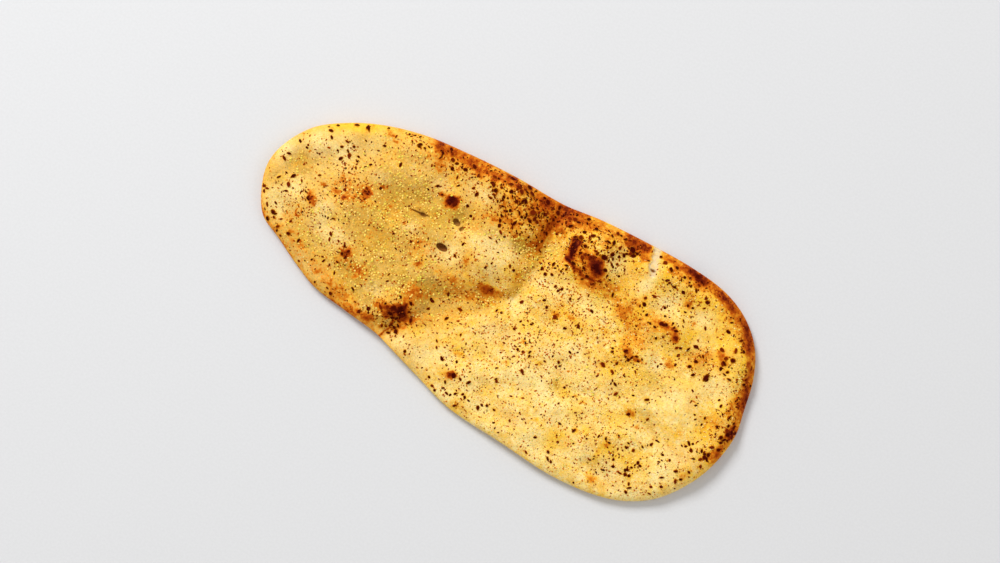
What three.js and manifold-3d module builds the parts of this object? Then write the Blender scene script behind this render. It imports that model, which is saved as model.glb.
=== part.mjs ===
// A long leavened flatbread with herbs, baked against a hot wall: an uneven oval of dough with a rolled rim, gas
// bubbles, a crease across its waist, docking holes, a torn place at the rim and coarse herb flakes stuck on top.
// It lies on its underside. Millimetres, +X along the bread, +Y across it, +Z up, z = 0 under the bread.
import * as THREE from "three";
import { mergeVertices } from "three/addons/utils/BufferGeometryUtils.js";
import Module from "manifold-3d";

// Driving dimensions.
const LENGTH = 310;
const WIDTH = 144;
const DOUGH_THICKNESS = 7.5;
const EDGE_HEIGHT = 3.2;
const EDGE_ROUNDING_TOP = 8;
const EDGE_ROUNDING_UNDER = 4.5;
const FLAKE_COUNT = 155;
const FLAKE_LENGTH = 2.9;
const FLAKE_SHORTEST = 1.7;

// The grid that the top is meshed with. The underside has half as many cells each way inside its first ring.
const CELLS_ALONG = 76;
const CELLS_ACROSS = 36;
const RIM_CROWDING = 0.34;
const OUTLINE_SAMPLES = 480;

// Places are shares of half the length and half the width, counted from the middle.
const OUTLINE = [
  [-1.0, -0.02],
  [-0.98, 0.2],
  [-0.925, 0.41],
  [-0.84, 0.56],
  [-0.72, 0.7],
  [-0.56, 0.81],
  [-0.38, 0.865],
  [-0.18, 0.9],
  [0.02, 0.908],
  [0.16, 0.955],
  [0.36, 0.99],
  [0.54, 1.0],
  [0.7, 0.965],
  [0.81, 0.87],
  [0.895, 0.71],
  [0.95, 0.49],
  [0.98, 0.24],
  [1.0, 0.03],
  [0.985, -0.24],
  [0.94, -0.5],
  [0.86, -0.74],
  [0.73, -0.91],
  [0.52, -0.995],
  [0.28, -0.98],
  [0.03, -0.955],
  [-0.13, -0.865],
  [-0.27, -0.78],
  [-0.33, -0.745],
  [-0.48, -0.715],
  [-0.62, -0.68],
  [-0.72, -0.6],
  [-0.83, -0.49],
  [-0.92, -0.4],
  [-0.975, -0.22],
];

// Swells and hollows of the top: [along, across, reach along, reach across, turn in degrees, rise], lengths in mm.
const SWELLS = [
  // the two crowned halves
  [-0.52, 0.06, 80, 60, 0, 4.6],
  [0.52, -0.02, 80, 70, 0, 2.6],
  // gas bubbles beside the crease
  [-0.13, 0.69, 32, 21, -4, 7.6],
  [-0.13, 0.2, 32, 23, -6, 6.2],
  [0.225, 0.68, 24, 22, -25, 7.4],
  [0.095, 0.42, 17, 14, 0, 2.4],
  [-0.31, -0.47, 22, 19, 20, 5.6],
  // smaller bubbles of the left half
  [-0.46, -0.43, 23, 17, 0, 2.8],
  [-0.34, 0.49, 16, 14, 0, 2.4],
  [-0.6, -0.3, 19, 15, 0, 2.4],
  [-0.66, -0.02, 18, 13, 10, 1.4],
  [-0.78, 0.56, 30, 17, 32, 3.2],
  [-0.82, -0.14, 24, 15, -12, 3.0],
  [-0.5, 0.66, 30, 15, 12, 2.8],
  // smaller bubbles of the right half
  [0.61, 0.5, 20, 12, -30, 2.4],
  [0.49, 0.17, 20, 13, 0, 1.8],
  [0.6, -0.52, 22, 17, 0, 2.2],
  [0.83, 0.5, 19, 17, 0, 2.4],
  [0.82, -0.02, 25, 18, 0, 2.2],
  [0.44, 0.76, 22, 14, 0, 2.8],
  [-0.01, -0.68, 22, 14, 0, 2.0],
  [0.2, -0.34, 30, 22, 0, 1.6],
  [0.3, -0.72, 30, 15, 0, 1.6],
  [0.84, -0.5, 20, 17, 0, 1.8],
  // hollows
  [-0.88, 0.14, 19, 14, 10, -3.4],
  [-0.47, 0.29, 34, 15, 6, -4.4],
  [-0.5, -0.1, 28, 11, 0, -2.0],
  [-0.17, -0.22, 32, 13, 28, -4.2],
  [0.72, -0.28, 24, 10, 12, -2.4],
  [0.61, -0.77, 22, 8, 6, -1.8],
  [0.16, 0.08, 26, 9, -10, -1.8],
  [0.62, 0.34, 19, 10, 20, -1.8],
  [0.38, -0.37, 22, 11, 0, -1.6],
];
// How far the rims of the swells wander, so that none is a clean ellipse, and how uneven the dough is besides.
const WANDER = 2.4;
const UNEVENNESS = 0.55;
// Nowhere is the dough thinner than this. A low sharpness eases into it.
const THINNEST = 3.4;
const FLOOR_SHARPNESS = 1.1;

// The crease across the waist, from the far edge to the near one.
const CREASE = [
  [0.022, 0.93],
  [0.022, 0.7],
  [0.036, 0.48],
  [0.045, 0.26],
  [0.025, 0.06],
  [-0.07, -0.12],
  [-0.18, -0.28],
  [-0.255, -0.45],
  [-0.295, -0.62],
  [-0.315, -0.78],
];
const CREASE_SAMPLES = 60;
const CREASE_DEPTH = 3.4;
const CREASE_HALF_WIDTH = 8.5;
const CREASE_FOLD_DEPTH = 1.6;
const CREASE_FOLD_HALF_WIDTH = 3.0;
const CREASE_WANDER_SHARE = 0.5;

// The rolled rim is highest on the browned far side and the right end: [along, across] of the place it faces.
const RIM_FACES = [0.55, 0.83];
const RIM_FULL_FROM = 0.9;
const RIM_RISE = 2.6;
const RIM_INSET = 11;
const RIM_HALF_WIDTH = 6.5;

// Where the edge curls up off the table: [along, across, reach, lift], the last two in mm.
const CURLS = [
  [-1.0, 0.1, 42, 5.0],
  [-0.3, -0.85, 34, 2.6],
  [0.62, 1.05, 46, 3.4],
  [1.02, -0.35, 40, 3.0],
  [-0.3, 0.98, 40, 2.4],
  [0.35, -1.05, 36, 1.8],
];

// The underside lies on the table at these places, [along, across, flat reach in mm], and arches up between them.
const RESTS = [
  [0, 0, 16],
  [-0.586, -0.262, 2],
  [-0.572, 0.39, 2],
  [0.665, 0.402, 2],
  [0.604, -0.562, 2],
];
const ARCH_RISE = 0.4;
const ARCH_REACH = 24;

// Docking holes and a slit: [along, across, half length, half width, turn in degrees, depth], the last in mm.
const HOLES = [
  [-0.289, 0.113, 3.6, 2.1, 0, 3.2],
  [-0.29, 0.343, 2.6, 1.9, -15, 2.6],
  [-0.262, 0.32, 1.3, 1.7, 0, 2.0],
  [-0.425, 0.262, 6.6, 1.1, 8, 2.0],
  [-0.412, 0.264, 2.2, 1.5, 0, 2.8],
];

// The torn place at the far rim, where the crumb shows.
const TEAR_START = [0.398, 0.995];
const TEAR_END = [0.42, 0.8];
const TEAR_BITES = 6;
const TEAR_HALF_WIDTH = 2.7;
const TEAR_WIDTH_CHANGES = 0.25;
const TEAR_DEPTH = 1.7;

// Where herb flakes lie thickest: [along, across, reach in mm, share].
const HERB_PATCHES = [
  [-0.1, 0.75, 26, 1.0],
  [0.22, 0.78, 24, 1.0],
  [-0.42, 0.76, 22, 0.7],
  [0.96, -0.05, 13, 1.0],
  [0.72, -0.58, 24, 0.55],
  [0.77, 0.42, 24, 0.5],
  [-0.31, -0.5, 14, 0.9],
  [-0.88, -0.25, 18, 0.5],
  [-0.76, 0.32, 26, 0.35],
  [0.07, 0.38, 14, 0.5],
  [0.02, -0.8, 16, 0.5],
  [0.55, 0.2, 26, 0.35],
];
const HERB_EVERYWHERE = 0.16;

// The biggest flakes of all: [along, across, length, width, turn in degrees], lengths in mm.
const BIG_FLAKES = [
  [0.79, 0.306, 4.0, 2.3, 75],
  [-0.745, 0.625, 4.0, 1.6, -55],
  [-0.787, 0.597, 2.7, 1.6, 20],
  [0.82, 0.479, 2.8, 1.5, -30],
  [0.555, 0.493, 2.6, 1.7, 10],
  [0.484, 0.16, 2.6, 1.4, 50],
  [0.442, -0.028, 2.8, 1.5, -15],
  [0.645, -0.083, 2.6, 1.3, 35],
  [-0.219, -0.292, 2.4, 1.7, 0],
  [0.29, 0.139, 2.4, 1.4, -40],
];
const FLAKE_SEED = 20261;
const FLAKE_SLIMMEST = 0.42;
const FLAKE_SLIM_RANGE = 0.3;
const FLAKE_HALF_HEIGHT_SHARE = 0.4;
// Flakes keep apart by this share of their two lengths, and keep this far inside the edge.
const FLAKE_SPACING = 0.62;
const FLAKE_INSET = 3.5;
// The distance over which the slope of the top is taken.
const SLOPE_STEP = 0.8;

const halfLength = LENGTH / 2;
const halfWidth = WIDTH / 2;
const at = (along, across) => [along * halfLength, across * halfWidth];

// A closed smooth curve through the outline's points, as an even run of [x, y].
function sampleOutline() {
  const points = OUTLINE.map(([along, across]) => new THREE.Vector3(...at(along, across), 0));
  const curve = new THREE.CatmullRomCurve3(points, true, "centripetal");
  return curve.getSpacedPoints(OUTLINE_SAMPLES).map((p) => [p.x, p.y]);
}

function sampleCrease() {
  const points = CREASE.map(([along, across]) => new THREE.Vector3(...at(along, across), 0));
  return new THREE.CatmullRomCurve3(points, false, "centripetal")
    .getSpacedPoints(CREASE_SAMPLES)
    .map((p) => [p.x, p.y]);
}

const outline = sampleOutline();
const crease = sampleCrease();

// Shortest distance from a point to a run of straight pieces.
function distanceTo(path, x, y) {
  let nearest = Infinity;
  for (let k = 0; k + 1 < path.length; k++) {
    const [ax, ay] = path[k];
    const dx = path[k + 1][0] - ax;
    const dy = path[k + 1][1] - ay;
    const share = THREE.MathUtils.clamp(((x - ax) * dx + (y - ay) * dy) / (dx * dx + dy * dy), 0, 1);
    nearest = Math.min(nearest, Math.hypot(x - ax - share * dx, y - ay - share * dy));
  }
  return nearest;
}

// How far the outline reaches in each direction, as a share of the ellipse LENGTH by WIDTH.
const reaches = outline
  .slice(0, -1)
  .map(([x, y]) => {
    const u = x / halfLength;
    const v = y / halfWidth;
    return [Math.atan2(v, u), Math.hypot(u, v)];
  })
  .sort((a, b) => a[0] - b[0]);

function outlineReach(angle) {
  const count = reaches.length;
  let next = reaches.findIndex(([a]) => a > angle);
  if (next < 0) next = 0;
  const [a0, r0] = reaches[(next + count - 1) % count];
  const [a1, r1] = reaches[next];
  const turn = 2 * Math.PI;
  const span = (a1 - a0 + turn) % turn;
  const gone = (angle - a0 + turn) % turn;
  return r0 + (r1 - r0) * (gone / span);
}

// Carries a point of the square -1..1 to the bread's plan: square to disc to outline.
function onPlan(u, v) {
  const discX = u * Math.sqrt(1 - (v * v) / 2);
  const discY = v * Math.sqrt(1 - (u * u) / 2);
  const radius = Math.min(1, Math.hypot(discX, discY));
  const angle = Math.atan2(discY, discX);
  const crowded = radius + RIM_CROWDING * (radius - radius ** 3);
  const stretched = crowded * (1 + (outlineReach(angle) - 1) * crowded);
  return [stretched * Math.cos(angle) * halfLength, stretched * Math.sin(angle) * halfWidth];
}

const wanderAlong = (x, y) => WANDER * (Math.sin(0.115 * y + 0.7) + 0.6 * Math.sin(0.07 * x + 0.24 * y + 2.1));
const wanderAcross = (x, y) => WANDER * (Math.sin(0.1 * x + 1.9) + 0.6 * Math.sin(0.21 * x - 0.06 * y + 0.4));

// A smooth bump: 1 in the middle and 0 at its reach.
function swell(x, y, [along, across, reachAlong, reachAcross, turn]) {
  const [cx, cy] = at(along, across);
  const angle = THREE.MathUtils.degToRad(turn);
  const dx = x - cx + wanderAlong(x, y) - wanderAlong(cx, cy);
  const dy = y - cy + wanderAcross(x, y) - wanderAcross(cx, cy);
  const p = (dx * Math.cos(angle) + dy * Math.sin(angle)) / reachAlong;
  const q = (dy * Math.cos(angle) - dx * Math.sin(angle)) / reachAcross;
  const gone = p * p + q * q;
  return gone < 1 ? (1 - gone) ** 2 : 0;
}

// Gentle ups and downs all over the dough, between -1.6 and 1.6.
function uneven(x, y) {
  const broad = Math.sin(0.13 * x + 0.05 * y + 0.5) * Math.sin(0.15 * y - 0.04 * x + 1.1);
  const close = Math.sin(0.27 * x - 0.1 * y + 2.0) * Math.sin(0.25 * y + 0.08 * x + 0.2);
  return broad + 0.6 * close;
}

const bell = (distance, reach) => Math.exp(-((distance / reach) ** 2));

// A quarter of an ellipse: 0 at the edge, 1 from the rounding inwards.
function rounding(inset, reach) {
  const share = Math.min(inset / reach, 1);
  return Math.sqrt(1 - (1 - share) ** 2);
}

// The underside's height over the table away from the edge.
function lift(x, y) {
  let height = 0;
  for (const [along, across, reach, rise] of CURLS) {
    const [cx, cy] = at(along, across);
    const share = Math.hypot(x - cx, y - cy) / reach;
    if (share < 1) height = Math.max(height, rise * (1 - share) ** 2 * (1 + share));
  }
  const offRests = RESTS.map(([along, across, flat]) => {
    const [cx, cy] = at(along, across);
    return Math.hypot(x - cx, y - cy) - flat;
  });
  return height + ARCH_RISE * THREE.MathUtils.smoothstep(Math.min(...offRests), 0, ARCH_REACH);
}

// The dough's thickness away from the edge.
function thickness(x, y, inset) {
  let height = DOUGH_THICKNESS + UNEVENNESS * uneven(x, y);
  for (const bump of SWELLS) height += bump[5] * swell(x, y, bump);
  const off = distanceTo(crease, x + CREASE_WANDER_SHARE * (wanderAlong(x, y) - wanderAlong(0, 0)), y);
  height -= CREASE_DEPTH * bell(off, CREASE_HALF_WIDTH) + CREASE_FOLD_DEPTH * bell(off, CREASE_FOLD_HALF_WIDTH);
  const facing = (x / halfLength) * RIM_FACES[0] + (y / halfWidth) * RIM_FACES[1];
  height += RIM_RISE * THREE.MathUtils.smoothstep(facing, 0, RIM_FULL_FROM) * bell(inset - RIM_INSET, RIM_HALF_WIDTH);
  return THINNEST + Math.log1p(Math.exp((height - THINNEST) * FLOOR_SHARPNESS)) / FLOOR_SHARPNESS;
}

// Top and underside at a place of the plan. They meet at the edge.
function heights(x, y, inset) {
  const under = lift(x, y);
  const edge = under + EDGE_HEIGHT;
  const top = edge + (under + thickness(x, y, inset) - edge) * rounding(inset, EDGE_ROUNDING_TOP);
  const bottom = edge - (edge - under) * rounding(inset, EDGE_ROUNDING_UNDER);
  return [top, bottom];
}

const insetOf = (x, y) => distanceTo(outline, x, y);
const topAt = (x, y) => heights(x, y, insetOf(x, y))[0];

// The bare loaf: a fine top, and an underside that is as fine at the edge and coarser inside its first ring.
function loafGeometry() {
  const positions = [];
  const faces = [];
  const topIndex = new Map();
  const underIndex = new Map();
  const key = (i, j) => i * (CELLS_ACROSS + 1) + j;
  const ring = (i, j) => Math.min(i, j, CELLS_ALONG - i, CELLS_ACROSS - j);
  const outward = (i, j) => i < CELLS_ALONG / 2 === j < CELLS_ACROSS / 2;
  for (let i = 0; i <= CELLS_ALONG; i++) {
    for (let j = 0; j <= CELLS_ACROSS; j++) {
      const [x, y] = onPlan((2 * i) / CELLS_ALONG - 1, (2 * j) / CELLS_ACROSS - 1);
      const [top, bottom] = heights(x, y, ring(i, j) === 0 ? 0 : insetOf(x, y));
      topIndex.set(key(i, j), positions.length / 3);
      positions.push(x, y, top);
      if (ring(i, j) === 0) {
        underIndex.set(key(i, j), topIndex.get(key(i, j)));
      } else if (ring(i, j) === 1 || (i % 2 === 0 && j % 2 === 0)) {
        underIndex.set(key(i, j), positions.length / 3);
        positions.push(x, y, bottom);
      }
    }
  }
  // The diagonals of all four quarters run towards the corners of the square, where the plan is roundest.
  const cell = (index, i, j) => {
    const [a, b, c, d] = [key(i, j), key(i + 1, j), key(i + 1, j + 1), key(i, j + 1)].map((k) => index.get(k));
    return outward(i, j) ? [a, b, c, a, c, d] : [a, b, d, b, c, d];
  };
  for (let i = 0; i < CELLS_ALONG; i++) {
    for (let j = 0; j < CELLS_ACROSS; j++) {
      faces.push(...cell(topIndex, i, j));
      const byEdge = i === 0 || j === 0 || i === CELLS_ALONG - 1 || j === CELLS_ACROSS - 1;
      if (byEdge) faces.push(...cell(underIndex, i, j).reverse());
    }
  }
  for (let i = 0; i < CELLS_ALONG; i += 2) {
    for (let j = 0; j < CELLS_ACROSS; j += 2) {
      const [i0, i1] = [Math.max(i, 1), Math.min(i + 2, CELLS_ALONG - 1)];
      const [j0, j1] = [Math.max(j, 1), Math.min(j + 2, CELLS_ACROSS - 1)];
      const corners = [
        [i0, j0],
        [i + 1, j0],
        [i1, j0],
        [i1, j + 1],
        [i1, j1],
        [i + 1, j1],
        [i0, j1],
        [i0, j + 1],
      ].filter(([p, q]) => underIndex.has(key(p, q)));
      const around = corners.filter(([p, q], k) => corners.findIndex(([r, t]) => p === r && q === t) === k);
      const first = around.length > 4 ? around.findIndex(([p, q]) => ring(p, q) > 1) : outward(i, j) ? 0 : 1;
      const turned = [...around.slice(first), ...around.slice(0, first)].map(([p, q]) => underIndex.get(key(p, q)));
      for (let k = 1; k + 1 < turned.length; k++) faces.push(turned[0], turned[k + 1], turned[k]);
    }
  }
  const geometry = new THREE.BufferGeometry();
  geometry.setAttribute("position", new THREE.Float32BufferAttribute(positions, 3));
  geometry.setIndex(faces);
  return geometry;
}

const wasm = await Module();
wasm.setup();

function solidOf(geometry) {
  const bare = geometry.clone();
  bare.deleteAttribute("normal");
  bare.deleteAttribute("uv");
  const merged = mergeVertices(bare, 1e-4);
  return new wasm.Manifold(
    new wasm.Mesh({
      numProp: 3,
      vertProperties: new Float32Array(merged.attributes.position.array),
      triVerts: new Uint32Array(merged.index.array),
    }),
  );
}

function geometryOf(solid) {
  const mesh = solid.getMesh();
  const geometry = new THREE.BufferGeometry();
  geometry.setAttribute("position", new THREE.Float32BufferAttribute(mesh.vertProperties, 3));
  geometry.setIndex(Array.from(mesh.triVerts));
  return geometry;
}

// A unit shape stretched to the given half sizes and laid along the surface at a place of the plan.
function laidOn(unitShape, halfSizes, x, y, turn) {
  const normal = new THREE.Vector3(
    topAt(x - SLOPE_STEP, y) - topAt(x + SLOPE_STEP, y),
    topAt(x, y - SLOPE_STEP) - topAt(x, y + SLOPE_STEP),
    2 * SLOPE_STEP,
  ).normalize();
  const lean = new THREE.Quaternion().setFromUnitVectors(new THREE.Vector3(0, 0, 1), normal);
  const spin = new THREE.Quaternion().setFromAxisAngle(new THREE.Vector3(0, 0, 1), turn);
  const place = new THREE.Vector3(x, y, topAt(x, y));
  return unitShape
    .clone()
    .applyMatrix4(new THREE.Matrix4().compose(place, lean.multiply(spin), new THREE.Vector3(...halfSizes)));
}

// The same run of numbers from 0 to 1 each time.
function seededRandom(seed) {
  let state = seed;
  return () => {
    state = (state * 1664525 + 1013904223) % 4294967296;
    return state / 4294967296;
  };
}

function herbShare(x, y) {
  return HERB_PATCHES.reduce((sum, [along, across, reach, share]) => {
    const [cx, cy] = at(along, across);
    return sum + share * bell(Math.hypot(x - cx, y - cy), reach);
  }, HERB_EVERYWHERE);
}

// The coarsest flakes: the biggest by hand, then the rest, largest first, none touching another or a hole.
function flakePlaces() {
  const random = seededRandom(FLAKE_SEED);
  const places = BIG_FLAKES.map(([along, across, length, width, turn]) => {
    const [x, y] = at(along, across);
    return { x, y, turn: THREE.MathUtils.degToRad(turn), length, width };
  });
  const total = BIG_FLAKES.length + FLAKE_COUNT;
  while (places.length < total) {
    const [x, y] = onPlan(2 * random() - 1, 2 * random() - 1);
    const chance = random();
    const turn = random() * Math.PI;
    const slimness = FLAKE_SLIMMEST + FLAKE_SLIM_RANGE * random();
    const length = FLAKE_LENGTH + (FLAKE_SHORTEST - FLAKE_LENGTH) * (places.length / total);
    const clearOfFlakes = places.every((p) => Math.hypot(p.x - x, p.y - y) > (p.length + length) * FLAKE_SPACING);
    const clearOfHoles = HOLES.every(([along, across, reach]) => {
      const [cx, cy] = at(along, across);
      return Math.hypot(x - cx, y - cy) > reach + length;
    });
    if (chance < herbShare(x, y) && clearOfFlakes && clearOfHoles && insetOf(x, y) > FLAKE_INSET) {
      places.push({ x, y, turn, length, width: length * slimness });
    }
  }
  return places;
}

function holeCutters() {
  return HOLES.map(([along, across, halfLong, halfWide, turn, depth]) => {
    const [x, y] = at(along, across);
    const angle = THREE.MathUtils.degToRad(turn);
    return laidOn(new THREE.IcosahedronGeometry(1, 1), [halfLong, halfWide, depth], x, y, angle);
  });
}

function tearCutters() {
  const random = seededRandom(FLAKE_SEED);
  return Array.from({ length: TEAR_BITES }, (_, k) => {
    const share = k / (TEAR_BITES - 1);
    const along = TEAR_START[0] + share * (TEAR_END[0] - TEAR_START[0]);
    const across = TEAR_START[1] + share * (TEAR_END[1] - TEAR_START[1]);
    const [x, y] = at(along, across);
    const wide = TEAR_HALF_WIDTH * (1 + TEAR_WIDTH_CHANGES * (2 * random() - 1));
    return laidOn(new THREE.OctahedronGeometry(1), [wide, TEAR_HALF_WIDTH, TEAR_DEPTH], x, y, random() * Math.PI);
  });
}

function breadGeometry() {
  const flakes = flakePlaces().map(({ x, y, turn, length, width }) =>
    laidOn(new THREE.OctahedronGeometry(1), [length / 2, width / 2, width * FLAKE_HALF_HEIGHT_SHARE], x, y, turn),
  );
  const cutters = [...holeCutters(), ...tearCutters()];
  const baked = solidOf(loafGeometry()).subtract(wasm.Manifold.union(cutters.map(solidOf)));
  return geometryOf(baked.add(wasm.Manifold.union(flakes.map(solidOf))));
}

const crust = new THREE.MeshStandardMaterial({ color: 0xe6bd73, roughness: 0.72, metalness: 0 });

const group = new THREE.Group();
const naan = new THREE.Mesh(breadGeometry(), crust);
naan.name = "naan";
group.add(naan);

export default group;
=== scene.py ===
"""A long herb flatbread: its crust with bubbles, a crease and scorched spots, its docking holes and torn rim,
the herb flakes and flecks that lie on it, and golden granules rubbed into it.

Lengths in the lists below are millimetres. +X runs along the bread, +Y across it and +Z up."""

import math

import bpy
import numpy as np
from bpy.props import FloatProperty, FloatVectorProperty, IntProperty, PointerProperty
from mathutils import Matrix, Quaternion, Vector


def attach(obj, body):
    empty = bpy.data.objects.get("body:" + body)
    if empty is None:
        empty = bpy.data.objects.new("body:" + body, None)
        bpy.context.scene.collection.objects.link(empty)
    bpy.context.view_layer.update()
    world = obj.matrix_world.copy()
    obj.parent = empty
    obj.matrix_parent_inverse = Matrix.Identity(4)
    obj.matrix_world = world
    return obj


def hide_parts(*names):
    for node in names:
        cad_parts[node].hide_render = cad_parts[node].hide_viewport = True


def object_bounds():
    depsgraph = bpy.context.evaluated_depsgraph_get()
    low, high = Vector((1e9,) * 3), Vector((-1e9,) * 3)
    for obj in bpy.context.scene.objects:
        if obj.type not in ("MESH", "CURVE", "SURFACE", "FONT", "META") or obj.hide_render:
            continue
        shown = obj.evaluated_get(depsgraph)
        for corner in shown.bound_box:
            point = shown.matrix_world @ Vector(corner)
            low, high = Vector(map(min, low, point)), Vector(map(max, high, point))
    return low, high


bl_info = {
    "name": "Herb flatbread",
    "version": (1, 0, 0),
    "blender": (4, 5, 0),
    "location": "3D View > Sidebar > Flatbread",
    "description": "Makes a herb flatbread with a browned crust, herb flakes, flecks and golden granules",
    "category": "Object",
}

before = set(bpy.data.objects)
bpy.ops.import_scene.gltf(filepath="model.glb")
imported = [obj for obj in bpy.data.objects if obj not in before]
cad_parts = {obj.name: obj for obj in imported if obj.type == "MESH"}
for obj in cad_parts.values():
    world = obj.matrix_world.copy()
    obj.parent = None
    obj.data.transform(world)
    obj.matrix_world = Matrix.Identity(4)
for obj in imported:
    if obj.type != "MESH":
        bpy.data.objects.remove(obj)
FRAME_LOW, FRAME_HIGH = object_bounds()
BREAD_NODE = "naan"
BREAD_BODY = "root"

MM = 0.001
HALF_LENGTH = round((FRAME_HIGH.x - FRAME_LOW.x) / MM) / 2
HALF_WIDTH = round((FRAME_HIGH.y - FRAME_LOW.y) / MM) / 2

# -------- the solid's own shape, repeated value for value

DOUGH_THICKNESS = 7.5
EDGE_HEIGHT = 3.2
EDGE_ROUNDING_TOP = 8
EDGE_ROUNDING_UNDER = 4.5
RIM_CROWDING = 0.34
OUTLINE_SAMPLES = 480
ARC_DIVISIONS = 200

# Places in this block are shares of half the length and half the width, counted from the middle.
OUTLINE = [
    (-1.0, -0.02), (-0.98, 0.2), (-0.925, 0.41), (-0.84, 0.56), (-0.72, 0.7), (-0.56, 0.81), (-0.38, 0.865),
    (-0.18, 0.9), (0.02, 0.908), (0.16, 0.955), (0.36, 0.99), (0.54, 1.0), (0.7, 0.965), (0.81, 0.87),
    (0.895, 0.71), (0.95, 0.49), (0.98, 0.24), (1.0, 0.03), (0.985, -0.24), (0.94, -0.5), (0.86, -0.74),
    (0.73, -0.91), (0.52, -0.995), (0.28, -0.98), (0.03, -0.955), (-0.13, -0.865), (-0.27, -0.78),
    (-0.33, -0.745), (-0.48, -0.715), (-0.62, -0.68), (-0.72, -0.6), (-0.83, -0.49), (-0.92, -0.4),
    (-0.975, -0.22),
]

# Swells and hollows of the top: (along, across, reach along, reach across, turn in degrees, rise).
SWELLS = [
    # the two crowned halves
    (-0.52, 0.06, 80, 60, 0, 4.6),
    (0.52, -0.02, 80, 70, 0, 2.6),
    # gas bubbles beside the crease
    (-0.13, 0.69, 32, 21, -4, 7.6),
    (-0.13, 0.2, 32, 23, -6, 6.2),
    (0.225, 0.68, 24, 22, -25, 7.4),
    (0.095, 0.42, 17, 14, 0, 2.4),
    (-0.31, -0.47, 22, 19, 20, 5.6),
    # smaller bubbles of the left half
    (-0.46, -0.43, 23, 17, 0, 2.8),
    (-0.34, 0.49, 16, 14, 0, 2.4),
    (-0.6, -0.3, 19, 15, 0, 2.4),
    (-0.66, -0.02, 18, 13, 10, 1.4),
    (-0.78, 0.56, 30, 17, 32, 3.2),
    (-0.82, -0.14, 24, 15, -12, 3.0),
    (-0.5, 0.66, 30, 15, 12, 2.8),
    # smaller bubbles of the right half
    (0.61, 0.5, 20, 12, -30, 2.4),
    (0.49, 0.17, 20, 13, 0, 1.8),
    (0.6, -0.52, 22, 17, 0, 2.2),
    (0.83, 0.5, 19, 17, 0, 2.4),
    (0.82, -0.02, 25, 18, 0, 2.2),
    (0.44, 0.76, 22, 14, 0, 2.8),
    (-0.01, -0.68, 22, 14, 0, 2.0),
    (0.2, -0.34, 30, 22, 0, 1.6),
    (0.3, -0.72, 30, 15, 0, 1.6),
    (0.84, -0.5, 20, 17, 0, 1.8),
    # hollows
    (-0.88, 0.14, 19, 14, 10, -3.4),
    (-0.47, 0.29, 34, 15, 6, -4.4),
    (-0.5, -0.1, 28, 11, 0, -2.0),
    (-0.17, -0.22, 32, 13, 28, -4.2),
    (0.72, -0.28, 24, 10, 12, -2.4),
    (0.61, -0.77, 22, 8, 6, -1.8),
    (0.16, 0.08, 26, 9, -10, -1.8),
    (0.62, 0.34, 19, 10, 20, -1.8),
    (0.38, -0.37, 22, 11, 0, -1.6),
]
WANDER = 2.4
UNEVENNESS = 0.55
THINNEST = 3.4
FLOOR_SHARPNESS = 1.1

CREASE = [
    (0.022, 0.93), (0.022, 0.7), (0.036, 0.48), (0.045, 0.26), (0.025, 0.06),
    (-0.07, -0.12), (-0.18, -0.28), (-0.255, -0.45), (-0.295, -0.62), (-0.315, -0.78),
]
CREASE_SAMPLES = 60
CREASE_DEPTH = 3.4
CREASE_HALF_WIDTH = 8.5
CREASE_FOLD_DEPTH = 1.6
CREASE_FOLD_HALF_WIDTH = 3.0
CREASE_WANDER_SHARE = 0.5

RIM_FACES = (0.55, 0.83)
RIM_FULL_FROM = 0.9
RIM_RISE = 2.6
RIM_INSET = 11
RIM_HALF_WIDTH = 6.5

# Where the edge curls up off the table: (along, across, reach, lift).
CURLS = [
    (-1.0, 0.1, 42, 5.0), (-0.3, -0.85, 34, 2.6), (0.62, 1.05, 46, 3.4), (1.02, -0.35, 40, 3.0),
    (-0.3, 0.98, 40, 2.4), (0.35, -1.05, 36, 1.8),
]

# The underside lies on the table at these places, (along, across, flat reach), and arches up between them.
RESTS = [(0, 0, 16), (-0.586, -0.262, 2), (-0.572, 0.39, 2), (0.665, 0.402, 2), (0.604, -0.562, 2)]
ARCH_RISE = 0.4
ARCH_REACH = 24

# Docking holes and a slit: (along, across, half length, half width, turn in degrees, depth).
# The slit is slimmer than on the solid.
HOLES = [
    (-0.289, 0.113, 3.6, 2.1, 0, 3.2),
    (-0.29, 0.343, 2.6, 1.9, -15, 2.6),
    (-0.262, 0.32, 1.3, 1.7, 0, 2.0),
    (-0.425, 0.262, 6.6, 0.6, 8, 2.0),
    (-0.412, 0.264, 2.2, 1.2, 0, 2.8),
]

TEAR_START = (0.398, 0.995)
TEAR_END = (0.42, 0.8)
TEAR_HALF_WIDTH = 2.7
TEAR_DEPTH = 1.7

# Where herb flakes lie thickest: (along, across, reach, share).
HERB_PATCHES = [
    (-0.1, 0.75, 26, 1.0), (0.22, 0.78, 24, 1.0), (-0.42, 0.76, 22, 0.7), (0.96, -0.05, 13, 1.0),
    (0.72, -0.58, 24, 0.55), (0.77, 0.42, 24, 0.5), (-0.31, -0.5, 14, 0.9), (-0.88, -0.25, 18, 0.5),
    (-0.76, 0.32, 26, 0.35), (0.07, 0.38, 14, 0.5), (0.02, -0.8, 16, 0.5), (0.55, 0.2, 26, 0.35),
]
HERB_EVERYWHERE = 0.16

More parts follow.
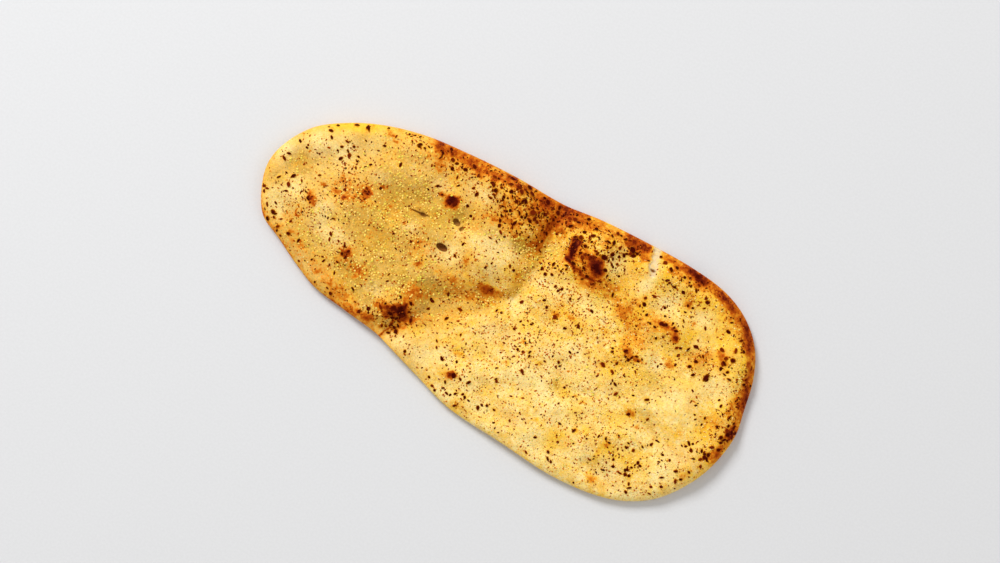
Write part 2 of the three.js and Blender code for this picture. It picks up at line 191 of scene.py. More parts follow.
# The biggest flakes of all: (along, across, length, width, turn in degrees).
BIG_FLAKES = [
    (0.79, 0.306, 4.0, 2.3, 75), (-0.745, 0.625, 4.0, 1.6, -55), (-0.787, 0.597, 2.7, 1.6, 20),
    (0.82, 0.479, 2.8, 1.5, -30), (0.555, 0.493, 2.6, 1.7, 10), (0.484, 0.16, 2.6, 1.4, 50),
    (0.442, -0.028, 2.8, 1.5, -15), (0.645, -0.083, 2.6, 1.3, 35), (-0.219, -0.292, 2.4, 1.7, 0),
    (0.29, 0.139, 2.4, 1.4, -40),
]
FLAKE_COUNT = 155
FLAKE_LENGTH = 2.9
FLAKE_SHORTEST = 1.7
FLAKE_SEED = 20261
FLAKE_SLIMMEST = 0.42
FLAKE_SLIM_RANGE = 0.3
FLAKE_HALF_HEIGHT_SHARE = 0.4
FLAKE_SPACING = 0.62
FLAKE_INSET = 3.5
SLOPE_STEP = 0.8

# -------- what the oven and the cook left on the surface, with painted shade and light among it

# From here on, places are millimetres from the middle of the bread.
# Browned places, and painted shade along the crease, under a scorched bubble and on the near side of the left
# half's rim: (x, y, reach along, reach across, how brown from 0 to 1, turn in degrees if any).
BROWNED_AND_SHADED = [
    # scorched spots of the left end
    (-52.5, 34, 4, 3.7, 0.9), (-53.5, 33, 6.5, 5.5, 0.36), (-60, 34, 1.6, 1.6, 0.7),
    (-97, 13, 2.6, 3, 0.48, 20), (-98, 11, 5.5, 6.5, 0.3, 20), (-91, 20, 2.4, 1.6, 0.5, 10),
    (-89.5, -22.3, 3.2, 3.6, 0.48, -20), (-89.5, -22.3, 5.5, 5.8, 0.36), (-91.5, -29.5, 1.4, 1.2, 0.5),
    (-122, -6, 5.5, 2.6, 0.62, -38), (-130, -21, 3.4, 2.4, 0.2), (-148, 4, 1.8, 1.6, 0.3),
    (-107.5, 4, 2, 1.7, 0.5), (-113, 4, 1.7, 1.6, 0.45), (-121, 4, 1.5, 1.3, 0.45), (-110, 9, 8, 7, 0.24),
    (-102.5, 48, 2, 1.9, 0.5), (-98, 46, 1.7, 1.5, 0.45), (-85, -2, 9, 5, 0.16), (-81, -29, 9, 6, 0.24),
    (-75, 7, 5, 4, 0.14), (-70, 9, 1.6, 1.5, 0.5), (-58, 4, 8, 6, 0.3), (-50, 3, 6, 5, 0.2),
    (-51.5, -6.5, 3.2, 2.3, 0.6), (-36, 29, 8, 6, 0.26), (-63, 18, 10, 5, 0.18), (-74, 48, 10, 5, 0.22),
    (-84, 13, 8, 7, 0.16), (-57, -4, 8, 4, 0.22), (-33, -4, 10, 3, 0.24, 10), (-120, 41, 20, 8, 0.1, 30),
    # the rims of the left half; the rows of its near side are painted shade where the rim curves down
    (-75, 57.5, 4, 4, 0.5), (-64, 58, 15, 4.5, 0.4, 2), (-46, 58, 13, 5, 0.4), (-69.5, 48, 3, 6, 0.3),
    (-59, 47, 3, 7, 0.2), (-116, -33, 15, 5, 0.28, -21), (-94, -41, 14, 5, 0.2, -16),
    (-80, -43, 12, 4, 0.26, -5), (-73, -49, 9, 3, 0.26, 4), (-60, -48, 9, 3.4, 0.28, 6),
    # the bubbles beside the crease; rows along the crease and under the bubbles' lower edges are painted
    # shade
    (-20, 49, 15, 11, 0.28), (-7, 60.5, 4, 3, 0.5), (-24.5, 60, 2, 2.4, 0.45), (-30.5, 63, 4, 1.6, 0.5),
    (-26, 61, 26, 3, 0.14), (-8, 58, 7, 4, 0.45), (-8, 49, 6, 6, 0.26), (2, 57, 6, 9, 0.22),
    (1, 44, 5, 12, 0.36), (3, 31, 4, 9, 0.2), (-18, 38, 13, 5, 0.3), (-31, 37, 8, 4, 0.2),
    (-10, 1.5, 7, 2.6, 0.6, 10), (-13, -6, 13, 5, 0.36, 25), (-29, -13, 14, 6, 0.2, 29),
    (-43, -23, 9, 6, 0.4, 42), (-26, -26, 12, 5, 0.14, 42), (-36, -35, 9, 5, 0.18, 50),
    (-29, 10, 3, 7, 0.26, 8), (-49, -20, 4, 4, 0.12), (-110, 13, 6, 3, 0.2), (-137, 7, 7, 5, 0.2),
    (-80, -5, 7, 4, 0.14), (-28, -5, 6, 4, 0.2), (-2, 30, 5, 6, 0.14), (-33, 27, 5, 3, 0.12),
    (-80, 13, 6, 4, 0.14), (-77, -28, 6, 4, 0.32), (-97, -37, 5, 3, 0.14), (7, 57, 5, 7, 0.2),
    (19, 61, 5, 3, 0.2), (57, 65, 3.6, 5, 0.42), (78, 63, 7, 3.5, 0.25), (66, 43, 5, 5, 0.16),
    (135.5, 48.5, 3, 3, 0.45), (138, 2, 5, 6, 0.2), (-39, -37, 4, 5, 0.15), (-62, -48, 6, 2, 0.3, 6),
    (1, 16, 3, 6, 0.34, 25), (-45.4, -34, 2.8, 4.4, 0.97, 12), (-48.5, -36, 4, 2.8, 0.76),
    (-52.5, -39, 4.4, 3.2, 0.5), (-49, -36, 9.5, 7, 0.32, 10), (-58.5, -38, 4, 3, 0.42),
    (-42.5, -40, 3.4, 8, 0.42), (-45.5, -48, 3.6, 4, 0.25), (-5, -39, 5, 2, 0.3, -10),
    (-2, -51, 3.2, 2.2, 0.66), (-6, -52, 6, 3.4, 0.36), (36, 43.4, 4.4, 4.2, 0.93, -20),
    (31, 46.5, 3.4, 2, 0.72), (38.5, 41.5, 2.6, 3, 0.75), (33, 44.5, 9, 7.5, 0.36), (25, 46, 6, 6, 0.34),
    (28, 63.5, 15, 5, 0.28, 3), (9, 65, 9, 4, 0.45, 8), (11, 57, 7, 7, 0.24), (8, 51, 7, 9, 0.2),
    # the first three rows here are painted shade below the scorched bubble of the right half
    (36, 34, 11, 4, 0.42, -6), (47, 38, 9, 6, 0.3, -8), (62, 33, 11, 8, 0.28, -20), (78, 33, 14, 7, 0.18),
    (19, 40, 4, 6, 0.3, 20), (17, 32, 9, 5, 0.1), (56, 50, 7, 7, 0.18), (48.5, 66.5, 6, 5, 0.62, 12),
    (54.5, 67.5, 4, 4, 0.5), (15, 30, 9, 5, 0.16), (29.5, 9, 3, 2, 0.42), (38, 11.8, 3.6, 1.6, 0.4, -15),
    (22, 16.5, 4, 1.3, 0.35, -25), (30, 16.5, 1.7, 2.4, 0.3), (30, 12, 14, 7, 0.12),
    # the rims of the right end
    (76, 69, 10, 3, 0.4, -4), (90, 69.5, 9, 3, 0.75, -4), (92, 66, 9, 3.4, 0.36, -4), (92, 57, 6, 5, 0.2),
    (108, 66, 7, 3.4, 0.5, -8), (116, 63.5, 6, 3, 0.36, -25), (117, 59, 13, 8, 0.24, -25),
    (130, 56, 9, 3.6, 0.55, -38), (132, 50, 5, 4, 0.3), (137.6, 45, 4, 8, 0.3, 20),
    (145, 31, 3.6, 10, 0.2, 14), (150, 18, 3.4, 10, 0.4, 8), (151.5, 2.5, 3.4, 5, 0.72),
    (150.5, -12, 4, 9, 0.5), (144, 17, 4, 8, 0.42), (144.5, -16.5, 3.4, 3.4, 0.4),
    (139.5, -33, 3, 6, 0.36), (133.5, -44, 3.4, 3, 0.35), (139, -2, 8, 10, 0.16),
    # spots and streaks of the right end
    (92, 52.5, 4, 2.6, 0.34), (123, 38, 2.7, 2.4, 0.45), (127, 36, 5, 7, 0.24), (114, 31, 5, 7, 0.24),
    (114, 26, 9, 4, 0.2), (121, 32, 9, 7, 0.16), (98, 20, 5, 5, 0.16), (85, 35, 9, 6, 0.26),
    (95, 32.5, 3.4, 2.2, 0.5, -40), (94, 34, 7, 3.4, 0.24, -25), (101, 17.5, 3.2, 2.2, 0.45, -40),
    (101, 45.5, 1.6, 1.4, 0.5), (83.5, 10.5, 4.6, 1.8, 0.5, 10), (76, 12, 5, 3.4, 0.45),
    (75, 5, 8, 6, 0.14), (78, 19, 6, 4, 0.3), (72, 17, 5, 5, 0.2), (64, 27.5, 7, 2.8, 0.36, -37),
    (76, 25, 7, 5, 0.28), (60, 14, 4, 2.6, 0.3), (95.5, -18, 3.4, 2.8, 0.4), (96, -17, 6, 5, 0.16),
    (103.3, -22.8, 2.2, 1.4, 0.45), (124.5, -14, 3.2, 2.4, 0.28), (93.5, -39.5, 2.6, 2.2, 0.38),
    (91, -45.5, 1.4, 3, 0.35), (112.5, -49, 3, 1.6, 0.25), (115, -40, 6, 8, 0.14),
    (96.5, -61, 3, 2.4, 0.42), (66.5, -52, 5, 8, 0.12, 10), (74, -42, 2, 1.5, 0.35, -30),
    (10, -64.5, 5, 2.6, 0.24), (124, 6.6, 2.6, 0.9, 0.6, 10), (20.5, -29.7, 1.8, 1.2, 0.4),
    (13, -22.5, 1.4, 1.2, 0.35), (36.5, -19.3, 2.2, 1.4, 0.4), (23, -13.8, 2.4, 1, 0.45, -35),
    (59, -27, 4, 3, 0.2), (64, -25, 1.6, 0.8, 0.5), (70.5, -25.7, 1.4, 0.8, 0.5),
    (52, -48.3, 1.8, 1.4, 0.4), (73, -12, 1.6, 1.4, 0.4), (68, -1.7, 2.2, 1.2, 0.5),
    (-48, -23, 4, 3, 0.18), (35, 57, 4, 3, 0.3),
]

# Narrow scorched lines, and wider lines of painted shade down the crease and along the bubbles beside it:
# (points of the line, half width, how brown).
SCORCHED_AND_SHADE_LINES = [
    ([(18.2, 50.5), (19.2, 47.6), (20.2, 44.8), (21, 41.8)], 1.9, 0.99),
    ([(20.8, 51.6), (21.3, 49.5), (21, 46.5)], 1.2, 0.9),
    ([(18.9, 39.8), (22.4, 38.4), (24.4, 37), (26.6, 35)], 0.9, 0.9),
    ([(25, 37.4), (29, 36.8), (33, 35.6), (40, 37)], 0.9, 0.6),
    ([(139.5, 41), (142.5, 34.5), (146, 28.5), (148.5, 22)], 1.9, 0.42),
    # painted shade down the crease's near part
    ([(-1, -7), (-12, -17), (-24, -25), (-36, -36)], 5, 0.1),
    ([(85, 35.6), (90, 35.4), (94, 34.6), (97.5, 31)], 0.9, 0.4),
    ([(-38, 57), (-22, 62), (-6, 63.5), (4, 63)], 2.6, 0.2),
    # painted shade in the crease beside the far bubble and under its lower edge
    ([(3, 60), (0.5, 52), (1.5, 42), (-3, 36), (-14, 34)], 2.0, 0.26),
    ([(-47, -42), (-47.5, -48), (-49.5, -54)], 0.7, 0.6),
    # painted shade along the lower edge of the bubble by the crease
    ([(-30, 10), (-26, 3), (-14, 0), (-3, 2), (3, 8)], 1.6, 0.2),
    ([(-127, -15), (-126.6, -18), (-124.4, -19), (-123, -17), (-124.4, -15)], 0.6, 0.55),
    ([(110, 50.5), (113, 49.5), (114, 46.5)], 0.5, 0.45),
]

# Pale places that the heat hardly reached, and two places of painted light: (x, y, reach along, reach across,
# how pale, turn if any).
PALE = [
    (131, -39, 11, 8, 0.8), (128, -42, 4, 3, 0.8), (104, -53, 8, 6, 0.8), (105, 50, 9, 6, 0.6),
    (83, 46, 6, 7, 0.8), (66, 50, 3.4, 8, 1, -12), (-21, 25, 13, 8, 0.9), (-47, 3, 6, 4, 0.6),
    (62, -15, 20, 8, 0.45), (111, 3, 13, 12, 0.5), (94, 14, 6, 5, 0.9), (40, -32, 18, 8, 0.6),
    (62, -40, 8, 6, 0.6), (52, -58, 12, 6, 0.5), (83, -52, 6, 7, 0.5), (22, 22, 10, 8, 0.5),
    (11, 3, 5, 6, 0.5), (-134, -6, 6, 8, 0.8), (-135, 23, 9, 7, 0.85, 40), (-113, 18, 8, 8, 0.2),
    (-128, 8, 9, 8, 0.2), (-148, 10, 5, 8, 0.85), (-142, -15, 6, 6, 0.8), (-138, -20, 7, 6, 0.6),
    (-110, -38, 12, 3.4, 0.4, -18), (-101, -18, 11, 6, 0.8), (-66, -31, 6, 4, 0.9), (-22, -50, 7, 7, 0.7),
    (120, -58, 12, 4, 0.85, 20), (5, -52, 9, 4, 0.5), (45, 22, 8, 6, 0.6), (130, 21, 8, 8, 0.6),
    (-121, 27, 8, 9, 0.9), (-108, 40, 5, 8, 0.5), (-38, 8, 5, 6, 0.9), (-65, 8, 5, 4, 0.6),
    # the first two rows are painted light, lightening the near rim and a bubble's slope where they lie in
    # shade
    (-1, -62, 7, 5, 0.9), (45, 51, 7, 7, 0.7), (105, -25, 9, 4, 0.5), (30, -29, 6, 4, 0.7),
    (55, -63, 8, 4, 0.75), (20, -60, 7, 4, 0.85), (8, -50, 6, 4, 0.85), (51, -4, 7, 5, 0.7),
    (109, 36, 4, 4, 0.5), (-114, -10, 6, 8, 0.7), (-38, -51, 9, 4, 0.6), (-12, -46, 6, 5, 0.8),
    (-95, 24, 7, 4, 0.5), (-64, 38, 6, 4, 0.4), (-45, 46, 6, 4, 0.4), (32, 20, 5, 3, 0.6),
    (40, -12, 6, 5, 0.6), (81, -10, 6, 5, 0.25), (74, -32, 5, 5, 0.5), (128, -27, 10, 4, 0.5),
    (70, -65, 5, 4, 0.6), (-37, 47, 4, 4, 0.6), (-14, 12, 5, 4, 0.5), (3, -20, 7, 6, 0.6),
]

# Places soaked with butter, deep yellow, and one place of painted light: (x, y, reach along, reach across,
# share, turn if any).
BUTTERED = [
    (-115, 46, 17, 6, 0.9, 28), (-62, 58, 20, 5, 0.7), (118, 47, 14, 7, 0.7, -20),
    (136, 33, 6, 12, 0.7, 10), (137, -8, 9, 9, 0.6), (137, -38, 4, 9, 0.9, -20), (92, -25, 10, 6, 0.75),
    (54, -26, 9, 5, 0.9, -15), (80, -8, 12, 6, 0.4), (110, 12, 12, 5, 0.8), (97, -42, 9, 6, 0.9),
    (72, 54, 5, 7, 0.7), (55, 56, 5, 6, 0.6), (65, -54, 6, 9, 0.8), (73, -33, 5, 6, 0.5),
    (22, -63, 10, 4, 0.7), (20, -5, 10, 6, 0.7), (-12, -34, 8, 5, 0.5), (72, 36, 6, 5, 0.6),
    (90, 5, 12, 9, 0.7), (60, -13, 10, 8, 0.35), (108, -42, 8, 5, 0.8), (69, -34, 6, 6, 0.8),
    # the last row here is painted light on a bubble's slope that lies in shade
    (100, 57, 12, 5, 0.9), (103, 36, 7, 8, 0.9), (48, 25, 6, 4, 0.8), (45, 53, 8, 7, 0.8),
    (120, -38, 5, 3, 0.6), (24, 26, 7, 4, 0.8), (137, 40, 3, 7, 0.5, 20), (-52, 1, 6, 5, 0.5),
    (-132, -7, 5, 4, 0.5), (-130, 40, 10, 5, 0.9, 38), (-37, 8, 4, 6, 0.85), (-117, -13, 5, 5, 0.6),
    (-33, -40, 5, 4, 0.5),
]

# Dull places besides the left half; some of them are painted shade along the crease, in hollows and on the
# near side of the left half's rim: (x, y, reach along, reach across, share, turn if any).
DULL_AND_SHADED_PLACES = [
    (131, -23, 10, 6, 0.99), (36, -10, 8, 6, 0.5), (7, -17, 10, 9, 0.8), (12, -52, 10, 4, 0.4),
    (38, -55, 7, 4, 0.9), (108, -56, 6, 4, 0.9), (124, 5, 5, 5, 0.9), (130, 18, 5, 5, 0.5),
    (35, 38, 7, 4, 0.5), (6, 52, 4, 6, 0.4), (145, 3, 4, 5, 0.5), (-28, -22, 12, 6, 0.9, 25),
    (-102, 27, 7, 6, 0.8), (-70, 18, 12, 6, 0.8), (-66, 42, 18, 5, 0.85), (-148, 0, 5, 8, 0.6),
    (-117, -34, 12, 5, 0.95, -20), (-98, -40, 9, 4, 0.8, -15), (-138, -27, 4, 4, 0.5),
    (-133, 4, 7, 5, 0.95), (-106, 7, 6, 6, 0.8), (-34, -24, 7, 7, 0.8), (-9, -11, 6, 4, 0.8, 30),
    (-65, -32, 6, 5, 0.6), (127, 40, 5, 4, 0.8), (144, -21, 4, 5, 0.6), (73, -53, 5, 4, 0.6),
]

# Stains of herb oil, greyish green; many rows are also painted shade in the left half's hollows, along the
# crease, under bubbles and on the near side of the left half's rim: (x, y, reach along, reach across, share,
# turn if any).
OLIVE = [
    (-80, 15, 8, 5, 0.5), (-5, 29, 5, 6, 0.5), (-74, 21, 22, 11, 0.95, 4), (-137, 8, 9, 6, 0.7),
    (-122, 13, 7, 5, 0.4), (-48, 28, 8, 5, 0.4), (-145, -8, 5, 7, 0.4), (-80, -10, 20, 10, 0.7),
    (-77, -29, 14, 8, 0.95), (-84, 1, 12, 6, 0.6), (-54, 19, 12, 10, 0.7), (-50, -20, 14, 9, 0.75),
    (-36, -18, 12, 8, 0.9, 24), (-34, 30, 18, 6, 0.75), (-6, 33, 14, 5, 0.7), (4, 28, 4, 14, 0.4),
    (6, 8, 4, 8, 0.15), (-100, -27, 14, 7, 0.4), (-66, -38, 12, 6, 0.4), (-12, 9, 8, 5, 0.3),
    (66, -11, 18, 5, 0.25), (50.5, -26, 3.6, 3, 0.8), (58.5, -39.5, 2.7, 2.5, 0.7), (99, 5, 9, 5, 0.6),
    (93, 26, 9, 4, 0.4), (112, -18, 8, 3.4, 0.5), (97, -54, 8, 4, 0.4), (120, 23, 7, 4, 0.5),
    (28, 5, 14, 4, 0.3), (45.5, -12, 3.6, 2.6, 0.6), (13, 40, 7, 6, 0.5), (36, 32, 9, 4, 0.4),
    (64, 59, 2.4, 3, 0.6), (-14, -13, 13, 4, 0.65, 38), (-29, -26, 11, 4, 0.65, 45),
    (-113, -35, 14, 4, 0.6, -20),
]

# Where golden granules were rubbed in: (x, y, reach along, reach across, share, turn if any).
GRANULE_PATCHES = [
    (-74, 24, 28, 17, 0.8, 4), (-72, -8, 32, 18, 0.7), (-76, -28, 22, 9, 0.75), (-137, 9, 9, 8, 0.8),
    (-100, 0, 18, 16, 0.45), (-110, -26, 14, 7, 0.5), (-34, 30, 18, 6, 0.8), (-6, 32, 12, 4.5, 0.9),
    (3, 28, 4.6, 15, 0.8), (6, 9, 5, 8, 0.5), (-12, -6, 14, 4, 0.95, 10), (-38, -13, 12, 6, 0.6, 10),
    (-52, -20, 10, 9, 0.6), (-62, -38, 14, 6, 0.5), (-28, -31, 7, 5, 0.45), (11, 41, 6, 6, 0.6),
    (-92, 44, 12, 6, 0.4), (-30, 20, 16, 9, 0.25), (60, 8, 30, 14, 0.12), (98, 4, 12, 8, 0.2),
    (66, -16, 18, 8, 0.16),
]

# Where small dark flecks cluster: (x, y, reach along, reach across, share, turn if any).
FLECK_PATCHES = [
    (-21, 54, 18, 11, 0.8), (-6, 58, 10, 8, 0.9), (-14, 43, 12, 7, 0.7), (27, 53, 11, 10, 0.8),
    (32, 44, 9, 6, 0.7), (43, 53, 7, 8, 0.25), (10, 63, 9, 5, 0.5), (50, 64, 8, 6, 0.7),
    (88, 63, 15, 7, 0.4), (-60, 55, 18, 4, 0.4), (-89, 54, 8, 4, 0.5), (-114, 24, 9, 8, 0.2, -40),
    (-99, 12, 6, 6, 0.4), (-109, 10, 7, 6, 0.4), (-125, -6, 6, 3, 0.6, -38), (-150, -15, 2, 3, 0.9),
    (-91, -22, 4.6, 4.6, 0.8), (-47, -37, 8, 8, 0.9), (-44, -46, 4, 4, 0.6), (-61, -44, 7, 5, 0.3),
    (14, 30, 8, 5, 0.6), (6, -8, 9, 5, 0.25), (26, -14, 12, 8, 0.25), (9, -59, 4, 3, 0.5),
    (104, -40, 8, 8, 0.3), (113, -45, 5, 7, 0.25), (127, 34, 5, 7, 0.4), (113, 31, 5, 7, 0.4),
    (77, 7, 10, 6, 0.45), (150, 2, 5, 6, 1), (145, -17, 3, 4, 0.7), (149, -7, 3, 6, 0.6),
    (143, 15, 5, 7, 0.5), (141, 34, 4, 8, 0.35), (90, -47, 6, 8, 0.2),
]
FLECKS_EVERYWHERE = 0.06

# Where hardly anything lies on the crust: (x, y, reach along, reach across, share, turn if any).
CALM = [
    (119, 0, 13, 12, 0.85), (108, -12, 10, 8, 0.9), (122, -20, 12, 5, 0.7), (108, 50, 9, 8, 0.8),
    (124, 44, 8, 4, 0.7), (132, 25, 6, 7, 0.7), (117, 14, 9, 5, 0.5), (133, -38, 6, 6, 0.6),
    (88, -50, 7, 8, 0.4), (66, 50, 5, 9, 0.7), (52, -56, 8, 6, 0.5), (60, -38, 9, 5, 0.5),
    (38, -30, 9, 6, 0.4), (-137, 30, 9, 7, 0.8, 40), (-117, 40, 12, 4, 0.6, 25), (-131, 10, 8, 9, 0.7),
    (-146, 0, 5, 9, 0.7), (-105, 28, 6, 6, 0.5), (-92, -10, 9, 6, 0.4), (-66, -30, 6, 6, 0.8),
    (-34, -24, 7, 6, 0.8), (-22, -46, 8, 8, 0.6), (-53, -50, 8, 3, 0.7), (-24, 24, 10, 7, 0.5),
]

